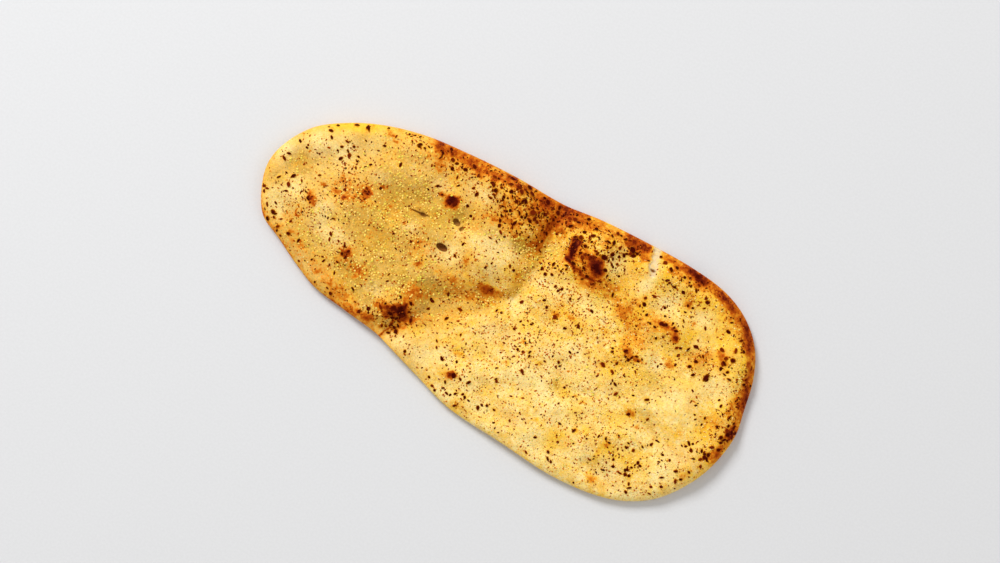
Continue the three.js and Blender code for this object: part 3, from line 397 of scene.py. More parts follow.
# The largest dark flecks besides the solid's own flakes: (x, y, length).
LARGE_FLECKS = [
    # the left end
    (-116, 45, 2.5), (-122, 43, 1.4), (-113, 38, 1.4), (-131.5, 37.3, 2.1), (-135.5, 34, 1.4),
    (-145, 18.5, 2.3), (-140, 19, 1.4), (-123, 28, 1.7), (-124, 25, 1.4), (-117, 26, 2.2),
    (-117, 31.5, 1.4), (-112, 28, 1.6), (-111, 25.5, 1.6), (-105.5, 25, 1.5), (-115, 18.5, 1.6),
    (-112, 17.5, 1.4), (-108.5, 8, 2.1), (-92, 19, 1.7), (-106, 51, 1.5), (-94, 54, 1.9), (-91, 55, 1.5),
    (-88, 56, 1.9), (-90, 51, 1.6), (-85, 50.5, 1.7), (-82, 51.5, 1.4), (-102.5, 41, 1.7),
    (-98.5, 15, 1.9), (-96.5, 12.5, 1.6), (-149.8, -13.8, 2.5), (-148.4, -16.4, 1.9), (-138, -24, 2.5),
    (-136, -26.5, 1.6), (-143, -25, 1.5), (-139, -28.8, 2.5), (-130.8, -32, 1.9), (-127.4, -33.5, 1.5),
    (-124, -30, 2.1), (-117, -30.5, 2.5), (-111, -40.5, 1.5), (-105, -36, 1.5), (-108, -38.5, 1.4),
    (-97, -46, 1.6), (-86, -47, 2.1), (-127, -4.5, 1.5), (-124.5, -6.5, 1.6), (-122, -8.5, 1.5),
    (-92.5, -19.5, 1.7), (-89, -21, 1.7), (-91.5, -24, 1.8), (-88.8, -24.5, 1.4), (-91.5, -29.5, 1.6),
    # the left half's middle
    (-69, 59, 2.7), (-72, 54.5, 2.3), (-65, 54, 2.4), (-62, 53.5, 1.9), (-56, 53, 2.5), (-48, 54, 2.3),
    (-38, 54, 2.1), (-35, 51.5, 2.3), (-53.5, 35.5, 2.5), (-51, 33, 2.4), (-54, 32, 2.1), (-60, 34, 1.7),
    (-44.5, 36, 1.9), (-40, 32, 1.7), (-68.5, 32.5, 1.7), (-61.5, 2, 1.7), (-58, 4, 1.6),
    (-57, -38.7, 2.9), (-55.6, -35.5, 1.4), (-53.8, -36.5, 2), (-50.4, -28.1, 2.1), (-43.4, -43.1, 2.2),
    (-44.7, -45.2, 2.2), (-42.9, -46.6, 2.5), (-49.3, -46.9, 1.8), (-62.5, -43, 2.6), (-61.5, -45, 1.7),
    (-43.4, -28.2, 2.4), (-42, -32.9, 1.8), (-48.4, -40.4, 2.8), (-50.6, -39, 3.4), (-46.3, -39.7, 2.8),
    (-41.8, -31, 1.4), (-51.8, -41.7, 1.7), (-35, -20.5, 2.1), (-4, -43.5, 1.7), (-8, -48, 1.6),
    (-20, -39, 1.7), (-32.5, -53.5, 1.7), (-13, -59, 1.7), (-9, -62.5, 1.8), (-6.5, -64, 1.7),
    (-10, -29, 1.5), (-1.5, -51, 2.7),
    # the bubble beside the crease
    (-16.5, 60.6, 3.4), (-17.5, 54.9, 3.4), (-10.6, 51.6, 3.9), (-11.7, 53.8, 1.9), (-19.2, 59.9, 2.4),
    (-21, 60.7, 2.2), (-22.1, 58.2, 3), (-19.5, 63, 3.4), (-23.6, 53.6, 1.6), (-21.7, 52, 2.1),
    (-19.3, 52.1, 1.8), (-26.8, 51.3, 1.4), (-29.1, 50.8, 1.9), (-28.6, 49, 1.5), (-29.6, 54.3, 1.5),
    (-32.9, 54.6, 1.9), (-27.1, 55.3, 2.3), (-25.5, 56.5, 1.3), (-29.4, 58.9, 3), (-33.2, 58.6, 1.5),
    (-37, 58.1, 1.8), (-36.7, 61.2, 1.6), (-38.8, 54.4, 2.6), (-37.4, 53.7, 2.3), (-34.9, 52, 2.1),
    (-36.6, 50.8, 1.7), (-35.5, 46.6, 2.1), (-31, 47, 1.7), (-27.1, 46, 1.8), (-22, 46.1, 2.1),
    (-23.5, 44.9, 1.7), (-24.8, 44.4, 1.7), (-24.8, 41.2, 2.3), (-27.1, 40.4, 1.6), (-24.1, 38.4, 2.4),
    (-23, 35.8, 2.4), (-16.4, 41.2, 3), (-16.2, 38.6, 2.3), (-14.7, 46.2, 1.8), (-13.1, 48.7, 1.9),
    (-12.9, 46.8, 1.7), (-9.7, 46.5, 2.4), (-8.1, 49.1, 2.5), (-5.8, 48.2, 2.3), (-6.8, 51.7, 1.7),
    (-8.3, 51.5, 1.5), (-7.6, 53.5, 1.8), (-9.9, 55.1, 1.8), (-6.1, 56.1, 1.9), (-3.5, 56.3, 1.6),
    (-3.8, 54.6, 2.1), (-2.6, 59.9, 2.1), (-9.1, 62.6, 1.9), (-6.6, 61.5, 2.8), (-12.5, 59.6, 1.7),
    (-1, 52, 1.5), (2.2, 45.8, 2.4), (-1, 46, 1.6), (0.9, 36.8, 1.5), (2.2, 40.7, 1.7), (-5.5, 38.5, 1.6),
    (-12.2, 37, 1.4), (-12.2, 42.7, 1.7), (-8.6, 44.4, 1.6), (-16, 35.3, 1.4), (-24.7, 59.8, 2.6),
    (-30.4, 62.4, 2.7), (-15.4, 63.4, 1.8), (1, 62.2, 2.5), (1.6, 59.3, 2.7), (5.5, 59.6, 1.8),
    (7.5, 48.7, 1.8), (1.6, 54.4, 2.1), (-6, 19, 1.9), (-3, 18, 1.9), (-17.5, 11.5, 1.7),
    # the far side of the right half
    (11.9, 63.8, 1.7), (12.2, 61, 2.6), (14.7, 60.6, 2.4), (9.4, 60, 2.5), (18.9, 65.2, 2.5),
    (23.2, 63.8, 1.3), (25.4, 62.4, 2.4), (32, 65.2, 1.5), (37.3, 66.6, 2.5), (39.5, 66.6, 1.6),
    (42.5, 65.8, 2.1), (34.8, 59.4, 2.7), (37.7, 60.6, 3.5), (42.2, 59.8, 2.2), (41.9, 57.2, 1.7),
    (35.7, 56.4, 2.1), (40.3, 54.4, 2.8), (41.9, 52.3, 1.9), (37.3, 54.3, 1.7), (33.8, 52.8, 1.6),
    (31.2, 51.2, 2.2), (37.1, 50.7, 3.7), (40.3, 50.5, 1.9), (43, 49.4, 1.8), (44.2, 48.6, 1.6),
    (44.2, 55.5, 1.9), (46.3, 57.6, 2.4), (47.3, 59.2, 1.6), (49.1, 62.8, 3.7), (49, 60.4, 2.5),
    (51.1, 60.2, 2.9), (52.6, 62.2, 1.6), (45.5, 51.1, 1.3), (50, 46, 1.7), (20.3, 57.4, 2.2),
    (24.3, 57, 1.5), (25.6, 58, 2.6), (25.2, 55.2, 1.3), (26.6, 54.5, 1.8), (24.8, 50.7, 2.2),
    (26.5, 50.9, 1.3), (20.2, 53.7, 2.6), (10.9, 37, 1.3), (14.8, 32.9, 2.5), (12.2, 31.9, 1.3),
    (20.4, 31.4, 1.5), (22.4, 33.9, 1.3), (24.4, 46, 1.9), (27.2, 46.7, 1.8), (26.6, 44.5, 2.5),
    (22.2, 43, 1.3), (30.6, 39.7, 2.6), (30.6, 38.1, 1.3), (34.5, 36.8, 2.2), (41.3, 44.8, 2.6),
    (44, 42.7, 1.7), (68.8, 66.1, 2.6), (65.1, 67.9, 1.6), (76, 67, 2.2), (82.3, 64.5, 1.8),
    (85.2, 65.9, 1.5), (81.4, 62.2, 1.8), (86.1, 63.5, 1.3), (87.9, 62.1, 1.8), (91.8, 61.5, 2.2),
    (91.7, 65, 2.2), (92.2, 67.5, 2), (88.4, 69, 2.5), (74.8, 58.1, 2.7), (79.1, 56.9, 1.8),
    (80.7, 56.8, 2.2), (86, 57, 2.2), (98.6, 60.5, 1.8), (100.7, 59.2, 2.4), (101, 55.3, 1.6),
    (92.4, 52, 2.2), (93, 47.9, 1.6), (95.5, 52.2, 1.5), (97.5, 47.3, 1.3), (82.6, 45.7, 1.3),
    (81.9, 44.2, 1.9), (73.3, 46.5, 2.1), (69.5, 43.3, 1.8), (70.8, 39.7, 2.4), (69.2, 37.8, 1.7),
    (75, 35.4, 1.8), (84.6, 35.3, 2.6), (87.3, 36.1, 2), (84.2, 40, 1.5), (90.2, 38.8, 1.5),
    (93.9, 35.9, 2.2), (91.9, 36.9, 1.6), (82.5, 31.8, 1.7), (79.2, 32.2, 1.7), (96.4, 32.5, 1.7),
    (105.5, 31, 1.8), (119.7, 51, 2.7), (128.8, 50.5, 2.5), (117, 47, 1.7), (10.3, 27.3, 2.2),
    (8.5, 29.5, 1.7), (13.5, 25.5, 2.1), (17, 27.2, 1.8), (26, 23, 1.8), (22.2, 22.5, 1.8),
    (24.8, 21.3, 1.8), (33, 20.7, 1.6), (20.8, 12.5, 2), (24, 9.7, 1.9), (31, 7.5, 2.7), (39, 4.7, 2.1),
    (45, 9.3, 2), (16, 1, 1.8), (105.5, 30, 1.9), (126.3, 37.3, 2.2), (130, 38.3, 2.6), (126.5, 34, 2.9),
    (127, 30.7, 2.4), (131, 31, 1.8), (113, 27, 2.1), (111.3, 22.8, 2.1), (102.5, 24.8, 2.4),
    (99.3, 28, 1.9), (86.5, 26.7, 1.8), (122.6, 23, 2.9), (123.4, 21, 2.5), (135.5, 15, 1.8),
    (75.3, 11.2, 2.8), (68.7, 7.3, 1.9), (74.5, 3, 2.2), (79, 8, 1.9), (82, 12, 1.9), (84.3, 10.2, 1.6),
    (85.6, 12.2, 1.4), (68, 9, 1.4),
    # the right end and the near side
    (122, 6.3, 1.6), (125.8, 7, 1.4), (127.5, 0.7, 1.6), (133.5, 2, 1.8), (142, 1.7, 1.5), (148, 2.4, 2.4),
    (149.4, 0.4, 2.2), (151, 2.4, 2.6), (152.6, 0.5, 2.8), (153.4, 3.4, 2.2), (151.8, -1.6, 2.2),
    (147, -2.8, 2.4), (148.5, -5.5, 2), (147.4, 5, 1.8), (149.6, 7.8, 1.7), (151, 6, 2),
    (149.5, -9.5, 2.4), (142.5, 32.5, 1.9), (147, 31, 1.8), (141.7, -15, 2.2), (144, -15.7, 1.8),
    (146, -15, 2.3), (144.8, -17.3, 2.8), (143.5, -19.5, 2.4), (136.3, -17.8, 2.1), (132.7, -17.4, 1.6),
    (135.3, -14.2, 1.4), (141.5, -29, 1.9), (139.8, -35, 1.8), (132.5, -44.3, 2), (127.7, -47.5, 1.8),
    (123.7, -28.3, 2.1), (129, -29, 1.4), (115.5, -27, 1.6), (100, -6, 1.7), (92, -8, 1.8),
    (106.3, -15.5, 1.7), (95.3, -18.5, 2.1), (103.7, -32.7, 1.6), (103.8, -35.5, 1.9), (108.3, -34.9, 1.8),
    (114.2, -39.5, 1.9), (116, -40.4, 1.8), (101.3, -45, 1.8), (111, -46, 1.8), (112.5, -43.7, 1.4),
    (111.5, -49, 2), (113.7, -48.6, 1.8), (103.3, -48.7, 2.1), (116, -52.6, 1.8), (117, -57.5, 2),
    (94, -38, 1.7), (91.5, -50.7, 1.5), (90.2, -54.5, 1.6), (88.8, -68.3, 1.4), (56.4, -57.2, 1.8),
    (67.2, -60.7, 1.8), (71.3, -64.5, 1.8), (69, -53, 1.8), (39.2, -56.6, 1.8), (28.4, -56, 1.4),
    (23.7, -56, 1.6), (21, -57.3, 1.8), (8.5, -57.5, 1.8), (10.3, -58.5, 1.9), (4.7, -59.5, 1.9),
    (2.5, -61.5, 1.7), (2.8, -50.8, 2), (21.2, -41.3, 1.8), (28.7, -17.5, 1.7), (25.5, -19, 1.6),
    (22.2, -19.5, 1.6), (38.8, -17.3, 1.4), (46, -13.7, 1.8), (47.6, -15.3, 1.8), (56.3, -24.3, 1.4),
    (68, -1.5, 2.4), (77, -49, 1.4), (58, -33.8, 1.4), (24, -14, 1.7), (3.5, -6.3, 1.5),
    (14.5, -10.5, 1.6), (0.5, -6.5, 1.6), (21.5, -3.2, 1.5),
]
LARGE_FLECK_SEED = 811
LARGE_FLECK_SLIMMEST = 0.55
LARGE_FLECK_SLIM_RANGE = 0.4
LARGE_FLECK_HEIGHT_SHARE = 0.22
LARGE_FLECK_INSET = 1.4

# How much a large fleck browns the crust round it, and how far as a share of its length.
FLECK_HALO = 0.16
FLECK_HALO_REACH = 0.75

# Where toasted specks are thick on the crust: (x, y, reach along, reach across, share, turn if any).
SPECK_PATCHES = [
    (28, 14, 26, 16, 0.8), (28, -18, 24, 16, 0.35), (68, 22, 22, 16, 0.85, -30), (70, -22, 30, 22, 0.2),
    (90, -48, 22, 12, 0.3), (-22, 48, 20, 14, 0.9), (30, 50, 16, 14, 0.9), (90, 56, 26, 12, 0.6),
    (-105, 12, 18, 12, 0.6), (-125, -14, 14, 16, 0.6), (-58, 0, 16, 12, 0.5), (-22, 8, 18, 12, 0.5),
    (-22, -14, 22, 10, 0.35), (-92, -24, 14, 12, 0.4), (-50, -36, 16, 12, 0.8), (-70, 50, 30, 8, 0.6),
    (144, 20, 10, 26, 0.7), (-15, -40, 22, 12, 0.4), (112, 28, 16, 12, 0.5),
]
SPECKS_EVERYWHERE = 0.4
SPECKS_WHERE_BROWN = 0.8

# How much painted shade darkens each docking hole inside, in the order above.
HOLE_PAINTED_SHADE = [0.95, 0.75, 0.65, 0.5, 0.8]

# A small pit at the end of the torn place: (x, y, reach along, reach across, depth).
TORN_PIT = (65, 58.5, 1.7, 1.2, 1.3)

# Fine wrinkles pressed into the skin: (points of the line, half width, depth).
WRINKLES = [
    ([(-48, -56), (-46.5, -50), (-44, -45), (-38, -40)], 0.9, 0.9),
    ([(8, -46), (20, -47.5), (33, -50)], 0.8, 0.3),
    ([(12, -44), (22, -45.5), (30, -48)], 0.7, 0.22),
    ([(-146, -3), (-147, -8), (-144, -12)], 0.9, 0.35),
    ([(-143, 6), (-140, 1), (-134, -1)], 0.9, 0.3),
    ([(-116, -33), (-111, -32), (-107, -29)], 0.8, 0.4),
    ([(-34, -12), (-30, -16), (-22, -19)], 0.9, 0.25),
    ([(2, 12), (6, 6), (12, 3)], 0.9, 0.25),
    ([(88, -12), (96, -14), (106, -16), (118, -15)], 1.2, 0.3),
    ([(120, -8), (128, -9), (136, -12)], 1.0, 0.25),
    ([(55, -25), (64, -22), (74, -20)], 1.1, 0.25),
]

# -------- finish of the surface and size of its mesh

# The most that one patch or line covers, and how steeply patches fade at their edges.
FULLEST = 0.99
PATCH_STEEPNESS = 1.3

CELLS_ALONG = 400
CELLS_ACROSS = 184
MESH_RIM_CROWDING = 0.4

GRAIN_OF_DOUGH = [(14.0, 0.32), (6.0, 0.12), (2.6, 0.05)]
GRAIN_FADES_WITHIN = 5.0
BLISTER_CELL = 4.6
BLISTER_RISE = 0.34
SMALL_BLISTER_CELL = 2.6
SMALL_BLISTER_RISE = 0.1
PIT_CELL = 5.4
PIT_DEPTH = 0.3
RAGGED_TEAR = 0.7
DIMPLE_REACH = 2.2
DIMPLE_DEPTH = 0.35

# How brown the crust is apart from its browned places, from 0 to 1, and how far each part of that reaches.
PLAIN_BROWNING = 0.12
# The left half is darker: partly browner crust, partly painted shade.
LEFT_HALF_BROWNER_AND_SHADED = 0.08
NEAR_SIDE_PALER = 0.05
RIM_BROWNING = 0.44
RIM_BROWNING_REACH = 5.2
LEFT_RIM_BROWNING = 0.14
# The near side of the left half's rim band is darkened further with painted shade.
LEFT_RIM_SHADE_NEAR = 0.24
LEFT_RIM_REACH = 2.4

# The underside: its roughness and pits in millimetres, and how brown it is.
UNDER_ROUGHNESS = 0.12
UNDER_PIT_CELL = 4.2
UNDER_PIT_RISE = 0.35
UNDER_BROWNING = 0.14
UNDER_ISLAND_BROWNING = 0.5
UNDER_SPOT_CELL = 9.0
UNDER_SPOT_BROWNING = 0.3

# How far dull skin covers the left half where no patch asks for more, and how much that varies: partly the
# skin's own duller tone, partly painted shade over the whole half.
LEFT_HALF_DULL_AND_SHADE_SHARE = 0.62
LEFT_HALF_DULL_AND_SHADE_VARIES = 0.3

# What is strewn where no patch asks for more, as shares of the most.
TOASTED_EVERYWHERE = 0.26
SLIVERS_EVERYWHERE = 0.25

# How far past its edge the painted shade of a docking hole reaches.
HOLE_RIM = 0.8

SEED_GRAIN = 11
SEED_BLISTERS = 23
SEED_PITS = 37
SEED_TEAR = 41
SEED_SPOTS = 53
SEED_UNDERSIDE = 67
SEED_FLECKS = 71
SEED_GRANULES = 83
SEED_SLIVERS = 97
SEED_CRUMBS = 103
SEED_TOASTED = 109

# -------- plane geometry


def place(along, across):
    """Millimetres from the middle for shares of half the length and half the width."""
    return along * HALF_LENGTH, across * HALF_WIDTH


def curve_points(anchors, closed, shares):
    """Points of a centripetal Catmull-Rom curve through the anchors, at shares of its length in anchors."""
    anchors = np.asarray(anchors, float)
    count = len(anchors)
    spans = count if closed else count - 1
    run = np.asarray(shares, float) * spans
    first = np.minimum(np.floor(run).astype(int), spans - 1)
    part = (run - first)[:, None]
    if closed:
        p0, p1, p2, p3 = (anchors[(first + k) % count] for k in (-1, 0, 1, 2))
    else:
        longer = np.vstack([2 * anchors[0] - anchors[1], anchors, 2 * anchors[-1] - anchors[-2]])
        p0, p1, p2, p3 = (longer[first + k] for k in (0, 1, 2, 3))
    d0, d1, d2 = (np.sqrt(np.linalg.norm(b - a, axis=1))[:, None] for a, b in ((p0, p1), (p1, p2), (p2, p3)))
    leave = ((p1 - p0) / d0 - (p2 - p0) / (d0 + d1) + (p2 - p1) / d1) * d1
    arrive = ((p2 - p1) / d1 - (p3 - p1) / (d1 + d2) + (p3 - p2) / d2) * d1
    square = -3 * p1 + 3 * p2 - 2 * leave - arrive
    cube = 2 * p1 - 2 * p2 + leave + arrive
    return p1 + leave * part + square * part**2 + cube * part**3


def evenly_spaced(anchors, closed, pieces):
    """The same curve as a run of evenly spaced points."""
    shares = np.linspace(0, 1, ARC_DIVISIONS + 1)
    steps = np.linalg.norm(np.diff(curve_points(anchors, closed, shares), axis=0), axis=1)
    lengths = np.concatenate([[0], np.cumsum(steps)])
    wanted = np.linspace(0, lengths[-1], pieces + 1)
    return curve_points(anchors, closed, np.interp(wanted, lengths, shares))


def distance_to(path, x, y):
    """Shortest distance from each point to a run of straight pieces."""
    nearest = np.full(np.shape(x), np.inf)
    for (ax, ay), (bx, by) in zip(path[:-1], path[1:]):
        dx, dy = bx - ax, by - ay
        share = np.clip(((x - ax) * dx + (y - ay) * dy) / (dx * dx + dy * dy), 0, 1)
        nearest = np.minimum(nearest, (x - ax - share * dx) ** 2 + (y - ay - share * dy) ** 2)
    return np.sqrt(nearest)


outline = evenly_spaced([place(*p) for p in OUTLINE], True, OUTLINE_SAMPLES)
crease = evenly_spaced([place(*p) for p in CREASE], False, CREASE_SAMPLES)
outline_shares = outline[:-1] / (HALF_LENGTH, HALF_WIDTH)
outline_angles = np.arctan2(outline_shares[:, 1], outline_shares[:, 0])
outline_reaches = np.hypot(outline_shares[:, 0], outline_shares[:, 1])


def on_plan(u, v, crowding=RIM_CROWDING):
    """Carries points of the square -1..1 to the bread's plan: square to disc to outline."""
    disc_x = u * np.sqrt(1 - v * v / 2)
    disc_y = v * np.sqrt(1 - u * u / 2)
    radius = np.minimum(1, np.hypot(disc_x, disc_y))
    angle = np.arctan2(disc_y, disc_x)
    crowded = radius + crowding * (radius - radius**3)
    reach = np.interp(angle, outline_angles, outline_reaches, period=2 * np.pi)
    stretched = crowded * (1 + (reach - 1) * crowded)
    return stretched * np.cos(angle) * HALF_LENGTH, stretched * np.sin(angle) * HALF_WIDTH


def inset_of(x, y):
    """Distance from the outline, on the plan."""
    return distance_to(outline, x, y)


def at_point(field, x, y):
    """The value of a field of places at one place."""
    return float(field(np.array([x]), np.array([y]))[0])


def turned(dx, dy, turn, reach_along, reach_across):
    """Steps from the middle of a turned ellipse, as shares of its two reaches."""
    angle = math.radians(turn)
    p = (dx * math.cos(angle) + dy * math.sin(angle)) / reach_along
    q = (dy * math.cos(angle) - dx * math.sin(angle)) / reach_across
    return p, q


# -------- the solid's height field


def wander_along(x, y):
    return WANDER * (np.sin(0.115 * y + 0.7) + 0.6 * np.sin(0.07 * x + 0.24 * y + 2.1))


def wander_across(x, y):
    return WANDER * (np.sin(0.1 * x + 1.9) + 0.6 * np.sin(0.21 * x - 0.06 * y + 0.4))


def swell(x, y, along, across, reach_along, reach_across, turn):
    """A smooth bump: 1 in the middle and 0 at its reach."""
    cx, cy = place(along, across)
    dx = x - cx + wander_along(x, y) - wander_along(cx, cy)
    dy = y - cy + wander_across(x, y) - wander_across(cx, cy)
    p, q = turned(dx, dy, turn, reach_along, reach_across)
    return np.maximum(1 - p * p - q * q, 0) ** 2


def uneven(x, y):
    """Gentle ups and downs all over the dough."""
    broad = np.sin(0.13 * x + 0.05 * y + 0.5) * np.sin(0.15 * y - 0.04 * x + 1.1)
    close = np.sin(0.27 * x - 0.1 * y + 2.0) * np.sin(0.25 * y + 0.08 * x + 0.2)
    return broad + 0.6 * close


def bell(distance, reach):
    """1 at no distance, falling off smoothly over the reach."""
    return np.exp(-((distance / reach) ** 2))


def smoothstep(value, low, high):
    """0 up to low, 1 from high on, and smooth between them."""
    share = np.clip((value - low) / (high - low), 0, 1)
    return share * share * (3 - 2 * share)


def rounding(inset, reach):
    """A quarter of an ellipse: 0 at the edge, 1 from the rounding inwards."""
    share = np.minimum(inset / reach, 1)
    return np.sqrt(np.maximum(1 - (1 - share) ** 2, 0))


def lift(x, y):
    """The underside's height over the table away from the edge."""
    height = np.zeros(np.shape(x))
    for along, across, reach, rise in CURLS:
        cx, cy = place(along, across)
        share = np.minimum(np.hypot(x - cx, y - cy) / reach, 1)
        height = np.maximum(height, rise * (1 - share) ** 2 * (1 + share))
    off_rests = np.full(np.shape(x), np.inf)
    for along, across, flat in RESTS:
        cx, cy = place(along, across)
        off_rests = np.minimum(off_rests, np.hypot(x - cx, y - cy) - flat)
    return height + ARCH_RISE * smoothstep(off_rests, 0, ARCH_REACH)


def facing_rim(x, y):
    """1 on the browned far side and the right end, 0 from the middle to the near side."""
    facing = x / HALF_LENGTH * RIM_FACES[0] + y / HALF_WIDTH * RIM_FACES[1]
    return smoothstep(facing, 0, RIM_FULL_FROM)


def thickness(x, y, inset):
    """The dough's thickness away from the edge."""
    height = DOUGH_THICKNESS + UNEVENNESS * uneven(x, y)
    for *where, rise in SWELLS:
        height = height + rise * swell(x, y, *where)
    off = distance_to(crease, x + CREASE_WANDER_SHARE * (wander_along(x, y) - wander_along(0, 0)), y)
    fold = CREASE_FOLD_DEPTH * bell(off, CREASE_FOLD_HALF_WIDTH)
    height -= CREASE_DEPTH * bell(off, CREASE_HALF_WIDTH) + fold
    height += RIM_RISE * facing_rim(x, y) * bell(inset - RIM_INSET, RIM_HALF_WIDTH)
    return THINNEST + np.log1p(np.exp((height - THINNEST) * FLOOR_SHARPNESS)) / FLOOR_SHARPNESS


def heights(x, y, inset):
    """Top and underside at places of the plan. They meet at the edge."""
    under = lift(x, y)
    edge = under + EDGE_HEIGHT
    top = edge + (under + thickness(x, y, inset) - edge) * rounding(inset, EDGE_ROUNDING_TOP)
    bottom = edge - (edge - under) * rounding(inset, EDGE_ROUNDING_UNDER)
    return top, bottom


def top_at(x, y):
    """Height of the solid's top, without its flakes."""
    return heights(x, y, inset_of(x, y))[0]


# -------- noise and patches


def hashed(i, j, seed):
    """A number from 0 to 1 for each cell of a square lattice."""
    return np.mod(np.abs(np.sin(i * 127.1 + j * 311.7 + seed * 74.7) * 43758.5453), 1.0)


def noise(x, y, size, seed):
    """Gradient noise, about -1 to 1, with features of that size."""
    gx, gy = x / size + 0.37 * seed, y / size - 0.61 * seed
    i, j = np.floor(gx), np.floor(gy)
    fx, fy = gx - i, gy - j
    ease_x, ease_y = (f**3 * (f * (f * 6 - 15) + 10) for f in (fx, fy))

    def pull(di, dj):
        angle = 2 * np.pi * hashed(i + di, j + dj, seed)
        return np.cos(angle) * (fx - di) + np.sin(angle) * (fy - dj)

    near = pull(0, 0) * (1 - ease_x) + pull(1, 0) * ease_x
    far = pull(0, 1) * (1 - ease_x) + pull(1, 1) * ease_x
    return 1.5 * (near * (1 - ease_y) + far * ease_y)


def domes(x, y, cell, seed, share, roundness=1.0):
    """Round blisters, one for a share of the lattice's cells: 0 between them, up to 1 on top."""
    gx, gy = x / cell, y / cell
    i, j = np.floor(gx), np.floor(gy)
    highest = np.zeros(np.shape(x))
    for di in (-1, 0, 1):
        for dj in (-1, 0, 1):
            p, q = i + di, j + dj
            cx = p + 0.2 + 0.6 * hashed(p, q, seed)
            cy = q + 0.2 + 0.6 * hashed(p, q, seed + 1)
            reach = 0.28 + 0.42 * hashed(p, q, seed + 2)
            there = hashed(p, q, seed + 3) < share
            gone = ((gx - cx) ** 2 + (gy - cy) ** 2) / reach**2
            dome = np.maximum(1 - gone, 0) ** roundness * (0.4 + 0.6 * hashed(p, q, seed + 4))
            highest = np.maximum(highest, np.where(there, dome, 0))
    return highest


def ragged(x, y):
    """The same places, shifted a little by noise, so that patches get ragged edges."""
    shift_x = 1.1 * noise(x, y, 6.0, SEED_SPOTS) + 1.0 * noise(x, y, 2.6, SEED_SPOTS + 1)
    shift_y = 1.1 * noise(x, y, 6.0, SEED_SPOTS + 2) + 1.0 * noise(x, y, 2.6, SEED_SPOTS + 3)
    return x + shift_x, y + shift_y


def over(*shares):
    """Shares laid over each other: they add up without passing 1."""
    uncovered = 1
    for share in shares:
        uncovered = uncovered * (1 - share)
    return 1 - uncovered


def patches(x, y, rows):
    """How much the patches cover each place, 0 to 1. Overlapping ones add up without passing 1."""
    uncovered = np.ones(np.shape(x))
    for cx, cy, reach_along, reach_across, share, *turn in rows:
        p, q = turned(x - cx, y - cy, sum(turn), reach_along, reach_across)
        uncovered *= 1 - min(share, FULLEST) * np.exp(-((p * p + q * q) ** PATCH_STEEPNESS))
    return 1 - uncovered


def lines(x, y, rows):
    """The same for lines: (points, half width, share)."""
    uncovered = np.ones(np.shape(x))
    for points, half_width, share in rows:
        path = curve_points(points, False, np.linspace(0, 1, 4 * len(points)))
        uncovered *= 1 - min(share, FULLEST) * bell(distance_to(path, x, y), half_width)
    return 1 - uncovered


# -------- what the surface is like at each place


def tear_reach(x, y):
    """How far the torn place reaches: 1 along its middle, 0 from its sides on."""
    path = np.array([place(*TEAR_START), place(*TEAR_END)])
    off = distance_to(path, x, y) + 1.8 * noise(x, y, 3.4, SEED_TEAR) + 0.9 * noise(x, y, 1.5, SEED_TEAR + 2)
    return smoothstep(TEAR_HALF_WIDTH + 0.4 - off, 0, 1.6)


def torn_pit(x, y):
    """1 in the middle of the pit in the torn place and 0 outside it."""
    cx, cy, reach_along, reach_across, _depth = TORN_PIT
    gone = ((x - cx) / reach_along) ** 2 + ((y - cy) / reach_across) ** 2
    return np.maximum(1 - gone, 0)


def fading(inset, reach):
    """1 at the edge, fading inwards."""
    return np.exp(-np.maximum(inset, 0) / reach)


def browning(x, y, inset):
    """How brown the crust is: 0 pale cream, 0.35 golden, 0.6 toasted, 0.8 brown, 1 char. Some of its patches
    and lines are painted shade.
    """
    wx, wy = ragged(x, y)
    level = PLAIN_BROWNING + 0.06 * noise(x, y, 26, SEED_SPOTS + 5) + 0.05 * noise(x, y, 9, SEED_SPOTS + 6)
    rim = facing_rim(x, y) * fading(inset, RIM_BROWNING_REACH)
    rim = rim * (RIM_BROWNING + 0.2 * noise(x, y, 13, SEED_SPOTS + 7))
    rim = rim * (0.75 + 0.25 * smoothstep(inset, 0.5, 4))
    near_side = NEAR_SIDE_PALER * smoothstep(-y, 0, 20) * smoothstep(x, -10, 20)
    # the left half darker, partly browner crust and partly painted shade
    level = level + (smoothstep(-x, 10, 90) * LEFT_HALF_BROWNER_AND_SHADED - near_side)
    # painted shade darkens the near side of the left half's rim
    left_rim = LEFT_RIM_BROWNING + LEFT_RIM_SHADE_NEAR * smoothstep(-y, -10, 25)
    left_rim = left_rim * smoothstep(-x, 25, 70) * fading(inset, LEFT_RIM_REACH)
    # these lines hold scorch marks and painted shade down the crease
    scorched = lines((x + wx) / 2, (y + wy) / 2, SCORCHED_AND_SHADE_LINES)
    level = level * (1 - 0.8 * patches(wx, wy, PALE))
    return np.clip(over(level, rim, left_rim, over(patches(wx, wy, BROWNED_AND_SHADED), scorched)), 0, 1)


def dimples(x, y):
    """Shallow dimples that the docking holes pull into the crust round them."""
    depth = 0
    for along, across, half_long, half_wide, _turn, _depth in HOLES:
        cx, cy = place(along, across)
        off = np.hypot((x - cx) / (half_long + DIMPLE_REACH), (y - cy) / (half_wide + DIMPLE_REACH))
        depth = depth + DIMPLE_DEPTH * np.maximum(1 - off * off, 0)
    return depth


def wrinkles(x, y):
    """Depth of the fine wrinkles."""
    depth = 0
    for path, half_width, deepest in WRINKLES:
        depth = depth + deepest * bell(distance_to(np.array(path, float), x, y), half_width)
    return depth


